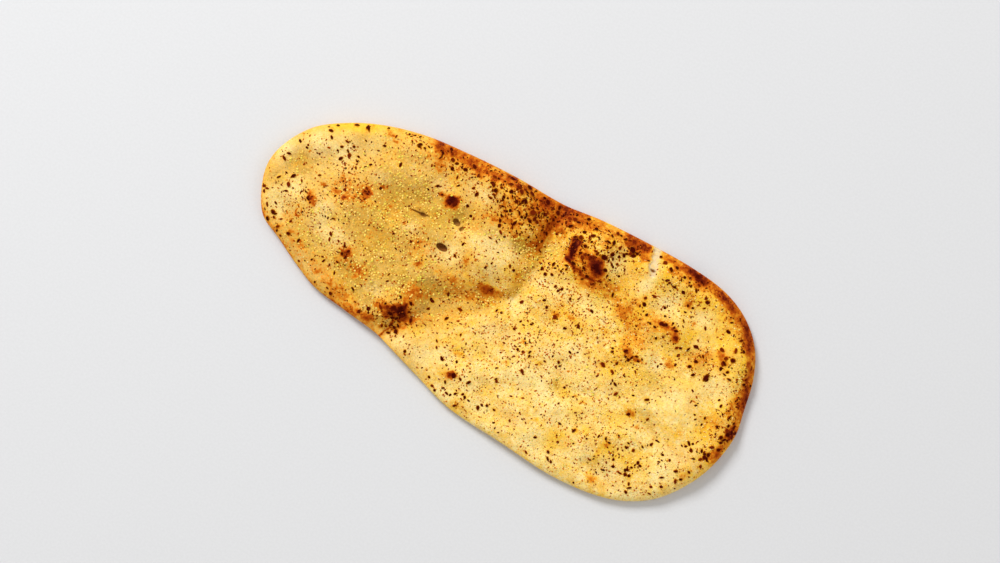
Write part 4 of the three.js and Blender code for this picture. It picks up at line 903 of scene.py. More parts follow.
def fine_relief(x, y, inset, brown):
    """What the solid is too coarse to hold, to add to the top's height."""
    grain = sum(rise * noise(x, y, size, SEED_GRAIN + k) for k, (size, rise) in enumerate(GRAIN_OF_DOUGH))
    toasted = smoothstep(brown, 0.3, 0.65)
    blisters = BLISTER_RISE * toasted * domes(x, y, BLISTER_CELL, SEED_BLISTERS, 0.6)
    small = SMALL_BLISTER_RISE * domes(x, y, SMALL_BLISTER_CELL, SEED_BLISTERS + 9, 0.5)
    pits = PIT_DEPTH * domes(x, y, PIT_CELL, SEED_PITS, 0.3, 2.0)
    *_where, pit_depth = TORN_PIT
    inner = grain + blisters + small - pits - wrinkles(x, y) - dimples(x, y) - pit_depth * torn_pit(x, y)
    torn = tear_reach(x, y) * (TEAR_DEPTH + RAGGED_TEAR * noise(x, y, 1.7, SEED_TEAR + 1))
    return inner * smoothstep(inset, 0, GRAIN_FADES_WITHIN) - torn * smoothstep(inset, -0.5, 2.5)


def under_relief(x, y, inset):
    """Faint unevenness of the underside, only ever upwards."""
    rough = 0.5 + 0.5 * noise(x, y, 7.0, SEED_UNDERSIDE)
    pitted = domes(x, y, UNDER_PIT_CELL, SEED_UNDERSIDE + 5, 0.35, 1.5)
    return (UNDER_ROUGHNESS * rough + UNDER_PIT_RISE * pitted) * smoothstep(inset, 0, GRAIN_FADES_WITHIN)


def under_browning(x, y):
    """Browned islands where the underside touched the hot wall."""
    wx, wy = ragged(x, y)
    broad = noise(wx, wy, 17, SEED_UNDERSIDE + 1) + 0.5 * noise(wx, wy, 6, SEED_UNDERSIDE + 2)
    islands = UNDER_ISLAND_BROWNING * smoothstep(broad, -0.05, 0.75)
    spots = UNDER_SPOT_BROWNING * domes(wx, wy, UNDER_SPOT_CELL, SEED_UNDERSIDE + 3, 0.3, 1.5)
    return np.clip(UNDER_BROWNING + islands + spots, 0, 0.9)


# -------- meshes


# Steps round a square of two by two cells, clockwise from above.
ROUND_TWO_CELLS = ((0, 0), (0, 1), (0, 2), (1, 2), (2, 2), (2, 1), (2, 0), (1, 0))


def bread_mesh():
    """The crust as one closed mesh: a fine top, and an underside with half as many cells each way."""
    na, nc = CELLS_ALONG, CELLS_ACROSS
    u, v = np.meshgrid(np.linspace(-1, 1, na + 1), np.linspace(-1, 1, nc + 1), indexing="ij")
    x, y = on_plan(u, v, MESH_RIM_CROWDING)
    i, j = np.meshgrid(np.arange(na + 1), np.arange(nc + 1), indexing="ij")
    ring = np.minimum(np.minimum(i, j), np.minimum(na - i, nc - j))
    inset = np.where(ring == 0, 0, inset_of(x, y))
    top, bottom = heights(x, y, inset)
    top = top + fine_relief(x, y, inset, browning(x, y, inset))
    bottom = bottom + under_relief(x, y, inset)
    top_index = (i * (nc + 1) + j).astype(int)
    lower = (ring > 0) & (i % 2 == 0) & (j % 2 == 0)
    under_index = np.where(ring == 0, top_index, -1)
    under_index[lower] = np.arange(lower.sum()) + top_index.size
    upper_points = np.stack([x, y, top], -1).reshape(-1, 3)
    lower_points = np.stack([x, y, bottom], -1)[lower]
    corners = (top_index[:-1, :-1], top_index[1:, :-1], top_index[1:, 1:], top_index[:-1, 1:])
    faces = np.stack(corners, -1).reshape(-1, 4).tolist()
    for p in range(0, na, 2):
        for q in range(0, nc, 2):
            around = (under_index[p + k, q + m] for k, m in ROUND_TWO_CELLS)
            faces.append([int(index) for index in around if index >= 0])
    mesh = bpy.data.meshes.new("naan_bread")
    mesh.from_pydata((np.vstack([upper_points, lower_points]) * MM).tolist(), [], faces)
    mesh.validate()
    return mesh


def slope_turn(x, y, turn):
    """The turn that lays a piece on the bare solid's top, after a turn about the surface's normal."""
    step = SLOPE_STEP
    around = top_at(np.array([x - step, x + step, x, x]), np.array([y, y, y - step, y + step]))
    normal = Vector((around[0] - around[1], around[2] - around[3], 2 * step)).normalized()
    lean = Vector((0, 0, 1)).rotation_difference(normal)
    return lean @ Quaternion((0, 0, 1), turn)


def hole_cutters():
    """An egg-shaped cutter for each docking hole."""
    made = []
    for along, across, half_long, half_wide, turn, depth in HOLES:
        x, y = place(along, across)
        bpy.ops.mesh.primitive_ico_sphere_add(subdivisions=4, radius=1)
        egg = bpy.context.object
        size = Matrix.Diagonal((half_long * MM, half_wide * MM, depth * MM, 1))
        where = Matrix.Translation((x * MM, y * MM, at_point(top_at, x, y) * MM))
        egg.data.transform(where @ slope_turn(x, y, math.radians(turn)).to_matrix().to_4x4() @ size)
        made.append(egg)
    return made


def applied(piece):
    """The piece as a plain mesh, with its modifiers worked in and removed."""
    bpy.context.view_layer.update()
    evaluated = piece.evaluated_get(bpy.context.evaluated_depsgraph_get())
    plain = bpy.data.meshes.new_from_object(evaluated)
    piece.modifiers.clear()
    spare = piece.data
    piece.data = plain
    plain.name = piece.name
    bpy.data.meshes.remove(spare)
    return piece


def cut_holes(bread):
    """Cuts the docking holes out of the bread."""
    for cutter in hole_cutters():
        hole = bread.modifiers.new("hole", "BOOLEAN")
        hole.operation = "DIFFERENCE"
        hole.solver = "MANIFOLD"
        hole.object = cutter
        applied(bread)
        bpy.data.objects.remove(cutter)


def points_of(mesh):
    """The mesh's vertices in millimetres."""
    spots = np.empty(len(mesh.vertices) * 3, np.float32)
    mesh.vertices.foreach_get("co", spots)
    return spots.reshape(-1, 3).astype(float) / MM


def store(mesh, name, values, kind="FLOAT"):
    """Puts one value or vector for each vertex into a named attribute."""
    attribute = mesh.attributes.new(name, kind, "POINT")
    part = "vector" if kind == "FLOAT_VECTOR" else "value"
    attribute.data.foreach_set(part, np.ravel(values).astype(np.float32))


def fleck_halos(x, y):
    """How near each place is to a large fleck: 1 at it and 0 from about its length outwards."""
    nearest = np.zeros(np.shape(x))
    for fx, fy, _turn, length, _width in flake_places() + large_fleck_places():
        close = (np.abs(x - fx) < 2 * length) & (np.abs(y - fy) < 2 * length)
        off = np.hypot(x[close] - fx, y[close] - fy)
        nearest[close] = np.maximum(nearest[close], bell(off, FLECK_HALO_REACH * length))
    return nearest


def hole_shade(x, y, depth):
    """How much painted shade darkens each place in and round a docking hole."""
    shade = np.zeros(len(x))
    for (along, across, half_long, half_wide, _turn, _depth), dark in zip(HOLES, HOLE_PAINTED_SHADE):
        cx, cy = place(along, across)
        near = np.hypot((x - cx) / (half_long + HOLE_RIM), (y - cy) / (half_wide + HOLE_RIM)) < 1
        shade = np.maximum(shade, dark * near * smoothstep(depth, 0.1, 1.3))
    return shade


def mark_crust(mesh, x, y, upper, halos):
    """Writes down the stains, the pale and dull places, and the painted shade and light among them, that the
    crust's material shows.
    """
    wx, wy = ragged(x, y)
    store(mesh, "olive", patches(wx, wy, OLIVE) * upper)
    store(mesh, "pale", patches(wx, wy, PALE) * upper)
    store(mesh, "buttered", np.maximum(patches(wx, wy, BUTTERED), 0.8 * halos) * upper)
    # the left half is dulled all over, partly its own tone and partly painted shade
    cover = smoothstep(-x, -8, 40) * (LEFT_HALF_DULL_AND_SHADE_SHARE + LEFT_HALF_DULL_AND_SHADE_VARIES * noise(x, y, 13, SEED_SPOTS + 8))
    store(mesh, "dull_and_shaded", over(cover, patches(wx, wy, DULL_AND_SHADED_PLACES)) * upper)


def mark_strewn(mesh, x, y, inset, brown, upper, clear):
    """Writes down how thickly each kind of bit is strewn."""
    wx, wy = ragged(x, y)
    calm = patches(x, y, CALM)
    busy = clear * (1 - calm)
    spotted = patches(wx, wy, SPECK_PATCHES)
    specks = spotted + SPECKS_EVERYWHERE + SPECKS_WHERE_BROWN * smoothstep(brown, 0.25, 0.6)
    store(mesh, "specks", np.clip(specks, 0, 1) * (1 - 0.6 * (1 - upper)) * (1 - 0.7 * calm))
    clusters = noise(x, y, 11.0, SEED_FLECKS) + 0.6 * noise(x, y, 4.5, SEED_FLECKS + 1)
    flecks = patches(x, y, FLECK_PATCHES) + FLECKS_EVERYWHERE * (0.2 + 2 * smoothstep(clusters, -0.2, 0.7))
    store(mesh, "flecks", np.clip(flecks, 0, 1) * busy)
    loose = noise(x, y, 5.0, SEED_GRANULES) + 0.5 * noise(x, y, 11.0, SEED_GRANULES + 1)
    rubbed = np.clip(patches(x, y, GRANULE_PATCHES) * smoothstep(loose, -0.6, 0.5) * 1.2, 0, 1)
    store(mesh, "granules", rubbed * clear * (1 - smoothstep(brown, 0.42, 0.66)))
    sandy = 0.5 + 0.5 * noise(x, y, 7.0, SEED_CRUMBS)
    crumbs = np.clip(0.3 + sandy, 0, 1) * (0.25 + 0.75 * smoothstep(x, -30, 10)) * (1 - rubbed)
    store(mesh, "crumbs", crumbs * busy * (1 - smoothstep(brown, 0.26, 0.5)) * smoothstep(inset, 2, 7))
    toasted = np.clip(spotted + TOASTED_EVERYWHERE + 0.3 * smoothstep(brown, 0.3, 0.6), 0, 1)
    store(mesh, "toasted", toasted * (0.3 + 0.7 * sandy) * busy * (1 - smoothstep(brown, 0.5, 0.75)))
    slivers = np.clip(SLIVERS_EVERYWHERE + patches(x, y, OLIVE), 0, 1) * smoothstep(x, -20, 30)
    store(mesh, "slivers", slivers * clear * (1 - smoothstep(brown, 0.25, 0.45)))


def mark_surface(mesh):
    """Writes down what the surface is like at each vertex, for the material and for what is strewn."""
    x, y, z = points_of(mesh).T
    inset = inset_of(x, y)
    top, bottom = heights(x, y, inset)
    under = (z < bottom + 0.45 * (top - bottom)) & (z < lift(x, y) + EDGE_HEIGHT + 0.05)
    upper = np.where(under, 0.0, 1.0)
    halos = fleck_halos(x, y)
    brown = over(browning(x, y, inset), FLECK_HALO * halos)
    edge_blend = smoothstep(inset, 0.3, 5)
    below = brown * (1 - edge_blend) + under_browning(x, y) * edge_blend
    store(mesh, "browning", np.where(under, below, brown))
    mark_crust(mesh, x, y, upper, halos)
    in_hole = hole_shade(x, y, top - z)
    torn = tear_reach(x, y)
    # painted shade in the docking holes and the torn pit
    store(mesh, "hole", np.maximum(in_hole, smoothstep(torn_pit(x, y), 0.1, 0.6)) * upper)
    store(mesh, "crumb", torn * upper)
    clear = upper * (1 - torn) * (in_hole < 0.05) * smoothstep(inset, 1.0, 2.2)
    mark_strewn(mesh, x, y, inset, brown, upper, clear)


# -------- herb flakes, laid where the solid has them


def seeded_random(seed):
    """The same run of numbers from 0 to 1 each time."""
    state = seed
    while True:
        state = (state * 1664525 + 1013904223) % 4294967296
        yield state / 4294967296


def herb_share(x, y):
    """How thickly the herb flakes lie at a place."""
    shares = []
    for along, across, reach, share in HERB_PATCHES:
        cx, cy = place(along, across)
        shares.append(share * bell(math.hypot(x - cx, y - cy), reach))
    return HERB_EVERYWHERE + sum(shares)


def clear_of_holes(x, y, length):
    """Whether a flake of that length keeps clear of the docking holes."""
    for along, across, reach, *_rest in HOLES:
        cx, cy = place(along, across)
        if math.hypot(x - cx, y - cy) <= reach + length:
            return False
    return True


def flake_places():
    """The coarsest flakes, as (x, y, turn, length, width), by the rule that placed them on the solid."""
    draw = seeded_random(FLAKE_SEED)
    places = [(*place(along, across), math.radians(turn), length, width)
              for along, across, length, width, turn in BIG_FLAKES]
    total = len(BIG_FLAKES) + FLAKE_COUNT
    while len(places) < total:
        x, y = (float(k) for k in on_plan(2 * next(draw) - 1, 2 * next(draw) - 1))
        chance = next(draw)
        turn = next(draw) * math.pi
        slimness = FLAKE_SLIMMEST + FLAKE_SLIM_RANGE * next(draw)
        length = FLAKE_LENGTH + (FLAKE_SHORTEST - FLAKE_LENGTH) * (len(places) / total)
        if chance >= herb_share(x, y) or not clear_of_holes(x, y, length):
            continue
        gaps = ((math.hypot(px - x, py - y), long + length) for px, py, _, long, _ in places)
        if any(gap <= lengths * FLAKE_SPACING for gap, lengths in gaps):
            continue
        if at_point(inset_of, x, y) > FLAKE_INSET:
            places.append((x, y, turn, length, length * slimness))
    return places


def large_fleck_places():
    """The largest dark flecks, in the same form."""
    draw = seeded_random(LARGE_FLECK_SEED)
    places = []
    for x, y, length in LARGE_FLECKS:
        if at_point(inset_of, x, y) > LARGE_FLECK_INSET:
            turn = next(draw) * math.pi
            slimness = LARGE_FLECK_SLIMMEST + LARGE_FLECK_SLIM_RANGE * next(draw)
            places.append((x, y, turn, length, length * slimness))
    return places


# -------- node tools


def add(tree, kind, inputs=(), **settings):
    """A new node with its settings made and its inputs linked or set."""
    node = tree.nodes.new(kind)
    node.location = (200 * len(tree.nodes), 0)
    for name, value in settings.items():
        setattr(node, name, value)
    for key, value in dict(inputs).items():
        give(tree, node.inputs[key], value)
    return node


def give(tree, socket, value):
    """Links a socket to another one's output, or sets it to a value."""
    if isinstance(value, bpy.types.NodeSocket):
        tree.links.new(value, socket)
    else:
        socket.default_value = value


def calc(tree, operation, *values):
    """A sum, product or comparison of numbers."""
    return add(tree, "ShaderNodeMath", dict(enumerate(values)), operation=operation).outputs[0]


def times(tree, first, second):
    return calc(tree, "MULTIPLY", first, second)


def rising(tree, value, slope, start):
    """The value times a slope, on top of a start."""
    return calc(tree, "MULTIPLY_ADD", value, slope, start)


def ranged(tree, value, low, high, to_low=0.0, to_high=1.0):
    """The value eased from one range to another."""
    inputs = {"Value": value, "From Min": low, "From Max": high, "To Min": to_low, "To Max": to_high}
    return add(tree, "ShaderNodeMapRange", inputs, interpolation_type="SMOOTHSTEP").outputs["Result"]


def mixed(tree, share, first, second, blend="MIX"):
    """Two colours mixed by a share."""
    inputs = {0: share, 6: first, 7: second}
    return add(tree, "ShaderNodeMix", inputs, data_type="RGBA", blend_type=blend).outputs[2]


def ramp(tree, value, stops):
    """A colour ramp with the given (place, colour) stops."""
    node = add(tree, "ShaderNodeValToRGB", {"Fac": value})
    bar = node.color_ramp.elements
    while len(bar) < len(stops):
        bar.new(0.5)
    for element, (spot, colour) in zip(bar, stops):
        element.position = spot
        element.color = (*colour[:3], 1)
    return node.outputs["Color"]


def new_group(name, kind, sockets):
    """An empty node group with the given (name, in or out, socket type, default) sockets."""
    tree = bpy.data.node_groups.new(name, kind)
    for label, way, socket_type, default in sockets:
        made = tree.interface.new_socket(name=label, in_out=way, socket_type=socket_type)
        if default is not None:
            made.default_value = default
    return tree


def grouped(tree, group, inputs):
    """Outputs of a shared shader group with its inputs linked or set."""
    return add(tree, "ShaderNodeGroup", inputs, node_tree=group).outputs


def surface_value(tree, name):
    """A per-vertex value of the mesh."""
    return add(tree, "ShaderNodeAttribute", attribute_name=name).outputs["Fac"]


def new_material(name):
    """A material with only a Principled shader, and the place on the object that its patterns read."""
    material = bpy.data.materials.new(name)
    material.use_nodes = True
    tree = material.node_tree
    tree.nodes.clear()
    shader = add(tree, "ShaderNodeBsdfPrincipled")
    out = add(tree, "ShaderNodeOutputMaterial")
    tree.links.new(shader.outputs[0], out.inputs["Surface"])
    spot = add(tree, "ShaderNodeTexCoord").outputs["Object"]
    return material, tree, shader, spot


def noise_at(tree, spot, size_mm, detail=3.0, roughness=0.55):
    """Noise from 0 to 1 with features of about that size."""
    inputs = {"Vector": spot, "Scale": 1 / (size_mm * MM), "Detail": detail, "Roughness": roughness}
    return add(tree, "ShaderNodeTexNoise", inputs).outputs["Fac"]


def mottled(tree, colour, mottle, contrast, darkest):
    """The colour times a mottle of light and dark."""
    shade = rising(tree, mottle, contrast, darkest)
    channels = dict.fromkeys(("Red", "Green", "Blue"), shade)
    grey = add(tree, "ShaderNodeCombineColor", channels).outputs["Color"]
    return mixed(tree, 1.0, colour, grey, "MULTIPLY")


def bump(tree, height, distance_mm, strength):
    """A normal bent by the height."""
    inputs = {"Height": height, "Distance": distance_mm * MM, "Strength": strength}
    return add(tree, "ShaderNodeBump", inputs).outputs["Normal"]


# -------- shared shader groups


def speck_group():
    """Round soft specks: a share of the cells of a random lattice holds one each."""
    tree = new_group("toasted_specks", "ShaderNodeTree", [
        ("Place", "INPUT", "NodeSocketVector", None),
        ("Cell Size", "INPUT", "NodeSocketFloat", 0.0016),
        ("Share", "INPUT", "NodeSocketFloat", 0.5),
        ("Largest", "INPUT", "NodeSocketFloat", 0.4),
        ("Mask", "OUTPUT", "NodeSocketFloat", None),
        ("Chance", "OUTPUT", "NodeSocketFloat", None),
    ])
    given = add(tree, "NodeGroupInput").outputs
    spot = given["Place"]
    scale = calc(tree, "DIVIDE", 1.0, given["Cell Size"])
    cells = add(tree, "ShaderNodeTexVoronoi", {"Vector": spot, "Scale": scale}).outputs
    inputs = {"Vector": spot, "Scale": times(tree, scale, 1.7)}
    wobble = add(tree, "ShaderNodeTexNoise", inputs).outputs["Fac"]
    dice = add(tree, "ShaderNodeSeparateColor", {"Color": cells["Color"]}).outputs
    reach = times(tree, given["Largest"], rising(tree, dice["Green"], 0.7, 0.3))
    wide = times(tree, reach, rising(tree, wobble, 1.2, 0.4))
    disc = ranged(tree, cells["Distance"], wide, times(tree, wide, 0.45))
    there = calc(tree, "LESS_THAN", dice["Red"], given["Share"])
    add(tree, "NodeGroupOutput", {"Mask": times(tree, disc, there), "Chance": dice["Blue"]})
    return tree


def grain_group():
    """Fine baked grain: a height from broad to close, and a value that breaks up a colour."""
    tree = new_group("baked_grain", "ShaderNodeTree", [
        ("Place", "INPUT", "NodeSocketVector", None),
        ("Size", "INPUT", "NodeSocketFloat", 0.002),
        ("Height", "OUTPUT", "NodeSocketFloat", None),
        ("Mottle", "OUTPUT", "NodeSocketFloat", None),
    ])
    given = add(tree, "NodeGroupInput").outputs
    scale = calc(tree, "DIVIDE", 1.0, given["Size"])
    inputs = {"Vector": given["Place"], "Scale": scale, "Detail": 5.0, "Roughness": 0.6}
    broad = add(tree, "ShaderNodeTexNoise", inputs).outputs["Fac"]
    inputs = {"Vector": given["Place"], "Scale": times(tree, scale, 3.3), "Detail": 3.0}
    close = add(tree, "ShaderNodeTexNoise", inputs).outputs["Fac"]
    height = calc(tree, "ADD", broad, times(tree, close, 0.35))
    add(tree, "NodeGroupOutput", {"Height": height, "Mottle": broad})
    return tree


# -------- materials


CRUST_GLOSS_AND_DEPTH = {
    "Specular IOR Level": 0.04,
    "Subsurface Weight": 0.2,
    "Subsurface Radius": (1.0, 0.5, 0.2),
    "Subsurface Scale": 0.0025,
}


def crust_level(tree, spot, mottle, sand):
    """How brown the crust is, broken up by grain. Browned places are broken up the most."""
    brown = surface_value(tree, "browning")
    middle = times(tree, times(tree, brown, calc(tree, "SUBTRACT", 1.0, brown)), 4.0)
    crackle = noise_at(tree, spot, 2.4, 2.0, 0.6)
    level = brown
    for grain, where_brown, everywhere in ((mottle, 0.3, 0.3), (sand, 0.34, 0.12), (crackle, 0.45, 0.1)):
        centred = calc(tree, "SUBTRACT", grain, 0.5)
        level = rising(tree, centred, rising(tree, middle, where_brown, everywhere), level)
    return level


def buttered_dulled_and_shaded(tree, spot, colours, level, cloudy, colour):
    """Butter soaked in here and there. Dull places are mixed in: duller skin between the fried places, and
    painted shade over the left half, along the crease and in hollows.
    """
    buttered = surface_value(tree, "buttered")
    soaked = ranged(tree, noise_at(tree, spot, 9.0, 5.0, 0.65), 0.46, 0.66, 0.0, 0.7)
    soaked = calc(tree, "MAXIMUM", soaked, times(tree, buttered, 0.95))
    drops = ranged(tree, noise_at(tree, spot, 2.6, 3.0, 0.6), 0.5, 0.66, 0.0, 0.7)
    soaked = calc(tree, "MAXIMUM", soaked, drops)
    soaked = times(tree, soaked, ranged(tree, level, 0.3, 0.5, 1.0, 0.0))
    colour = mixed(tree, soaked, colour, (*colours.butter, 1))
    dull = ranged(tree, noise_at(tree, spot, 8.0, 4.0), 0.45, 0.7, 0.0, 0.55)
    mostly = times(tree, surface_value(tree, "dull_and_shaded"), ranged(tree, cloudy, 0.3, 0.65, 0.6, 1.0))
    dull = times(tree, calc(tree, "MAXIMUM", dull, mostly), ranged(tree, level, 0.25, 0.55, 1.0, 0.0))
    dull = times(tree, dull, ranged(tree, buttered, 0.1, 0.8, 1.0, 0.25))
    return mixed(tree, dull, colour, (*colours.dull_and_shaded, 1))


def stained_and_shaded(tree, spot, colours, pale_enough, mottle, cloudy, colour):
    """Pale places, herb-oil stains that also stand as painted shade in hollows and along the crease, and
    painted shade between the granules.
    """
    whitish = times(tree, surface_value(tree, "pale"), ranged(tree, mottle, 0.3, 0.6, 0.25, 0.85))
    oil_stain_and_shade = times(tree, surface_value(tree, "olive"), ranged(tree, cloudy, 0.25, 0.7, 0.45, 1.0))
    # painted shade between the granules
    gaps = ranged(tree, noise_at(tree, spot, 1.5, 2.0, 0.6), 0.42, 0.62)
    gaps = times(tree, gaps, surface_value(tree, "granules"))
    tints = ((whitish, 1.0, colours.pale), (oil_stain_and_shade, 0.85, colours.olive), (gaps, 0.75, colours.granule_gap_shade))
    for share, most, tint in tints:
        cover = times(tree, times(tree, share, pale_enough), most)
        colour = mixed(tree, cover, colour, (*tint, 1))
    return colour


def speckled(tree, spot, specks, colours, level, pale_enough, colour):
    """Herb dust, and fine and coarse toasted specks."""
    share = surface_value(tree, "specks")

    def layer(cell, how_many, largest, stops):
        inputs = {"Place": spot, "Cell Size": cell, "Share": how_many, "Largest": largest}
        found = grouped(tree, specks, inputs)
        return found["Mask"], ramp(tree, found["Chance"], stops)

    mask, tint = layer(0.0012, rising(tree, surface_value(tree, "olive"), 0.3, 0.34), 0.55, [
        (0.0, colours.butter), (0.5, colours.golden), (0.8, colours.olive), (1.0, colours.herb_dust)])
    colour = mixed(tree, times(tree, times(tree, mask, 0.7), pale_enough), colour, tint)
    mask, tint = layer(0.0014, times(tree, share, 0.55), 0.5, [
        (0.0, colours.golden), (0.3, colours.olive), (0.6, colours.toasted), (1.0, colours.browned)])
    colour = mixed(tree, times(tree, mask, ranged(tree, level, 0.42, 0.62, 0.75, 0.0)), colour, tint)
    mask, tint = layer(0.002, times(tree, share, 0.35), 0.38, [
        (0.0, colours.toasted), (0.5, colours.browned), (1.0, colours.scorched)])
    return mixed(tree, times(tree, mask, 0.9), colour, tint)


def crust_material(colours, specks, grain):
    """Baked crust: cream to char by how brown it is, stained with herb oil, with painted shade in hollows,
    along the crease, in the docking holes and between the granules, specked and finely grained.
    """
    material, tree, shader, spot = new_material("baked_crust")
    mottle = grouped(tree, grain, {"Place": spot, "Size": 0.004})
    sand = grouped(tree, grain, {"Place": spot, "Size": 0.0009})
    level = crust_level(tree, spot, mottle["Mottle"], sand["Mottle"])
    cloudy = noise_at(tree, spot, 6.0)
    pale_enough = ranged(tree, level, 0.3, 0.55, 1.0, 0.0)
    colour = ramp(tree, level, [
        (0.0, colours.pale), (0.16, colours.cream), (0.32, colours.golden), (0.47, colours.toasted),
        (0.64, colours.browned), (0.8, colours.scorched), (0.94, colours.char),
    ])
    colour = buttered_dulled_and_shaded(tree, spot, colours, level, cloudy, colour)
    colour = stained_and_shaded(tree, spot, colours, pale_enough, mottle["Mottle"], cloudy, colour)
    colour = speckled(tree, spot, specks, colours, level, pale_enough, colour)
    colour = mottled(tree, colour, sand["Mottle"], 1.25, 0.395)
    bare = times(tree, surface_value(tree, "crumb"), ranged(tree, mottle["Mottle"], 0.35, 0.55, 0.5, 1.0))
    colour = mixed(tree, bare, colour, (*colours.crumb, 1))
    # painted shade inside the docking holes and the torn pit
    colour = mixed(tree, surface_value(tree, "hole"), colour, (*colours.hole, 1))
    height = calc(tree, "ADD", times(tree, mottle["Height"], 1.2), sand["Height"])
    give(tree, shader.inputs["Base Color"], colour)
    give(tree, shader.inputs["Roughness"], ranged(tree, mottle["Mottle"], 0.3, 0.7, 0.46, 0.7))
    give(tree, shader.inputs["Normal"], bump(tree, height, 0.35, 0.6))
    for name, value in CRUST_GLOSS_AND_DEPTH.items():
        shader.inputs[name].default_value = value
    return material


def strewn_material(name, stops, grain, roughness=0.75, gloss=0.03, edge=None):
    """The finish of something strewn: each bit takes its own colour of the ramp and is faintly mottled.

    Its foot takes the colour of the edge ramp for the crust's browning there."""
    material, tree, shader, spot = new_material(name)
    mottle = grouped(tree, grain, {"Place": spot, "Size": 0.0006})
    colour = ramp(tree, surface_value(tree, "tint"), stops)
    if edge is not None:
        foot = ramp(tree, surface_value(tree, "browning"), edge)
        colour = mixed(tree, times(tree, surface_value(tree, "edge"), 0.9), colour, foot)
    give(tree, shader.inputs["Base Color"], mottled(tree, colour, mottle["Mottle"], 0.7, 0.65))
    give(tree, shader.inputs["Normal"], bump(tree, mottle["Height"], 0.1, 0.5))
    shader.inputs["Roughness"].default_value = roughness
    shader.inputs["Specular IOR Level"].default_value = gloss
    return material


def foot_colours(colours):
    """Colours of a fleck's foot, from lightly to deeply browned crust."""
    return [(0.3, colours.fried), (0.5, colours.toasted), (0.64, colours.browned), (0.82, colours.scorched)]


def floor_material(colour):
    """A plain floor, very faintly cloudy."""
    material, tree, shader, spot = new_material("pale_floor")
    faint = ranged(tree, noise_at(tree, spot, 1.4, 2.0), 0.3, 0.7)
    darker = (FLOOR_DARKER * c for c in colour)
    give(tree, shader.inputs["Base Color"], mixed(tree, faint, (*darker, 1), (*colour, 1)))
    shader.inputs["Roughness"].default_value = 0.8
    return material


# -------- geometry node trees


def shifted(tree, vector, step):
    return add(tree, "ShaderNodeVectorMath", {0: vector, 1: step}, operation="ADD").outputs[0]


def bit_shapes(tree, base, size, variants, jitter):
    """Several uneven copies of a unit shape, stretched to a size, as instances to pick from."""
    joined = add(tree, "GeometryNodeJoinGeometry")
    for k in range(variants):
        shape = base()
        here = add(tree, "GeometryNodeInputPosition").outputs[0]
        apart = shifted(tree, here, (7.3 * k, 3.1 * k, 5.7 * k))
        inputs = {"Vector": apart, "Scale": 0.9, "Detail": 1.0}
        cloud = add(tree, "ShaderNodeTexNoise", inputs).outputs["Color"]
        inputs = {0: shifted(tree, cloud, (-0.5, -0.5, -0.5)), "Scale": jitter}
        push = add(tree, "ShaderNodeVectorMath", inputs, operation="SCALE").outputs[0]
        uneven_bit = add(tree, "GeometryNodeSetPosition", {"Geometry": shape, "Offset": push}).outputs[0]
        sized = add(tree, "GeometryNodeTransform", {"Geometry": uneven_bit, "Scale": size}).outputs[0]
        single = add(tree, "GeometryNodeGeometryToInstance", {"Geometry": sized}).outputs[0]
        tree.links.new(single, joined.inputs[0])
    return joined.outputs[0]


def plate(tree, sides):
    """A low plate with few sides and a sloping rim. Its edge attribute is 1 at its foot and 0 on top."""
    inputs = {"Vertices": sides, "Radius Top": 0.88, "Radius Bottom": 1.42, "Depth": 1.4}
    dome = add(tree, "GeometryNodeMeshCone", inputs, fill_type="NGON").outputs["Mesh"]
    here = add(tree, "GeometryNodeInputPosition").outputs[0]
    up = add(tree, "ShaderNodeSeparateXYZ", {0: here}).outputs["Z"]
    inputs = {"Geometry": dome, "Name": "edge", "Value": calc(tree, "LESS_THAN", up, 0.7)}
    marked = add(tree, "GeometryNodeStoreNamedAttribute", inputs).outputs[0]
    return add(tree, "GeometryNodeTransform", {"Geometry": marked, "Translation": (0, 0, -0.4)}).outputs[0]


def pebble(tree):
    """A unit ball with few faces."""
    return add(tree, "GeometryNodeMeshIcoSphere", {"Radius": 1.0, "Subdivisions": 1}).outputs["Mesh"]


def crumb_bit(tree):
    """A unit ball with eight faces."""
    return add(tree, "GeometryNodeMeshUVSphere", {"Segments": 4, "Rings": 2, "Radius": 1.0}).outputs["Mesh"]


def random_number(tree, low, high, seed):
    """A random number for each point."""
    return add(tree, "FunctionNodeRandomValue", {2: low, 3: high, 8: seed}, data_type="FLOAT").outputs[1]


def random_pick(tree, count, seed):
    """A random whole number for each point, from 0 to one less than the count."""
    return add(tree, "FunctionNodeRandomValue", {4: 0, 5: count - 1, 8: seed}, data_type="INT").outputs[2]


def own_value(tree, name, kind):
    """A named value of each point."""
    return add(tree, "GeometryNodeInputNamedAttribute", {"Name": name}, data_type=kind).outputs[0]


def finish_bits(tree, instances, finish, seed, smooth):
    """Gives each instance its own tint, makes the instances real and sets their finish."""
    tinted = add(tree, "GeometryNodeStoreNamedAttribute", {
        "Geometry": instances, "Name": "tint", "Value": random_number(tree, 0.0, 1.0, seed),
    }, data_type="FLOAT", domain="INSTANCE").outputs[0]
    real = add(tree, "GeometryNodeRealizeInstances", {"Geometry": tinted}).outputs[0]
    shaded = add(tree, "GeometryNodeSetShadeSmooth", {"Geometry": real, "Shade Smooth": smooth}).outputs[0]
    finished = add(tree, "GeometryNodeSetMaterial", {"Geometry": shaded, "Material": finish}).outputs[0]
    tree.links.new(finished, add(tree, "NodeGroupOutput").inputs["Geometry"])


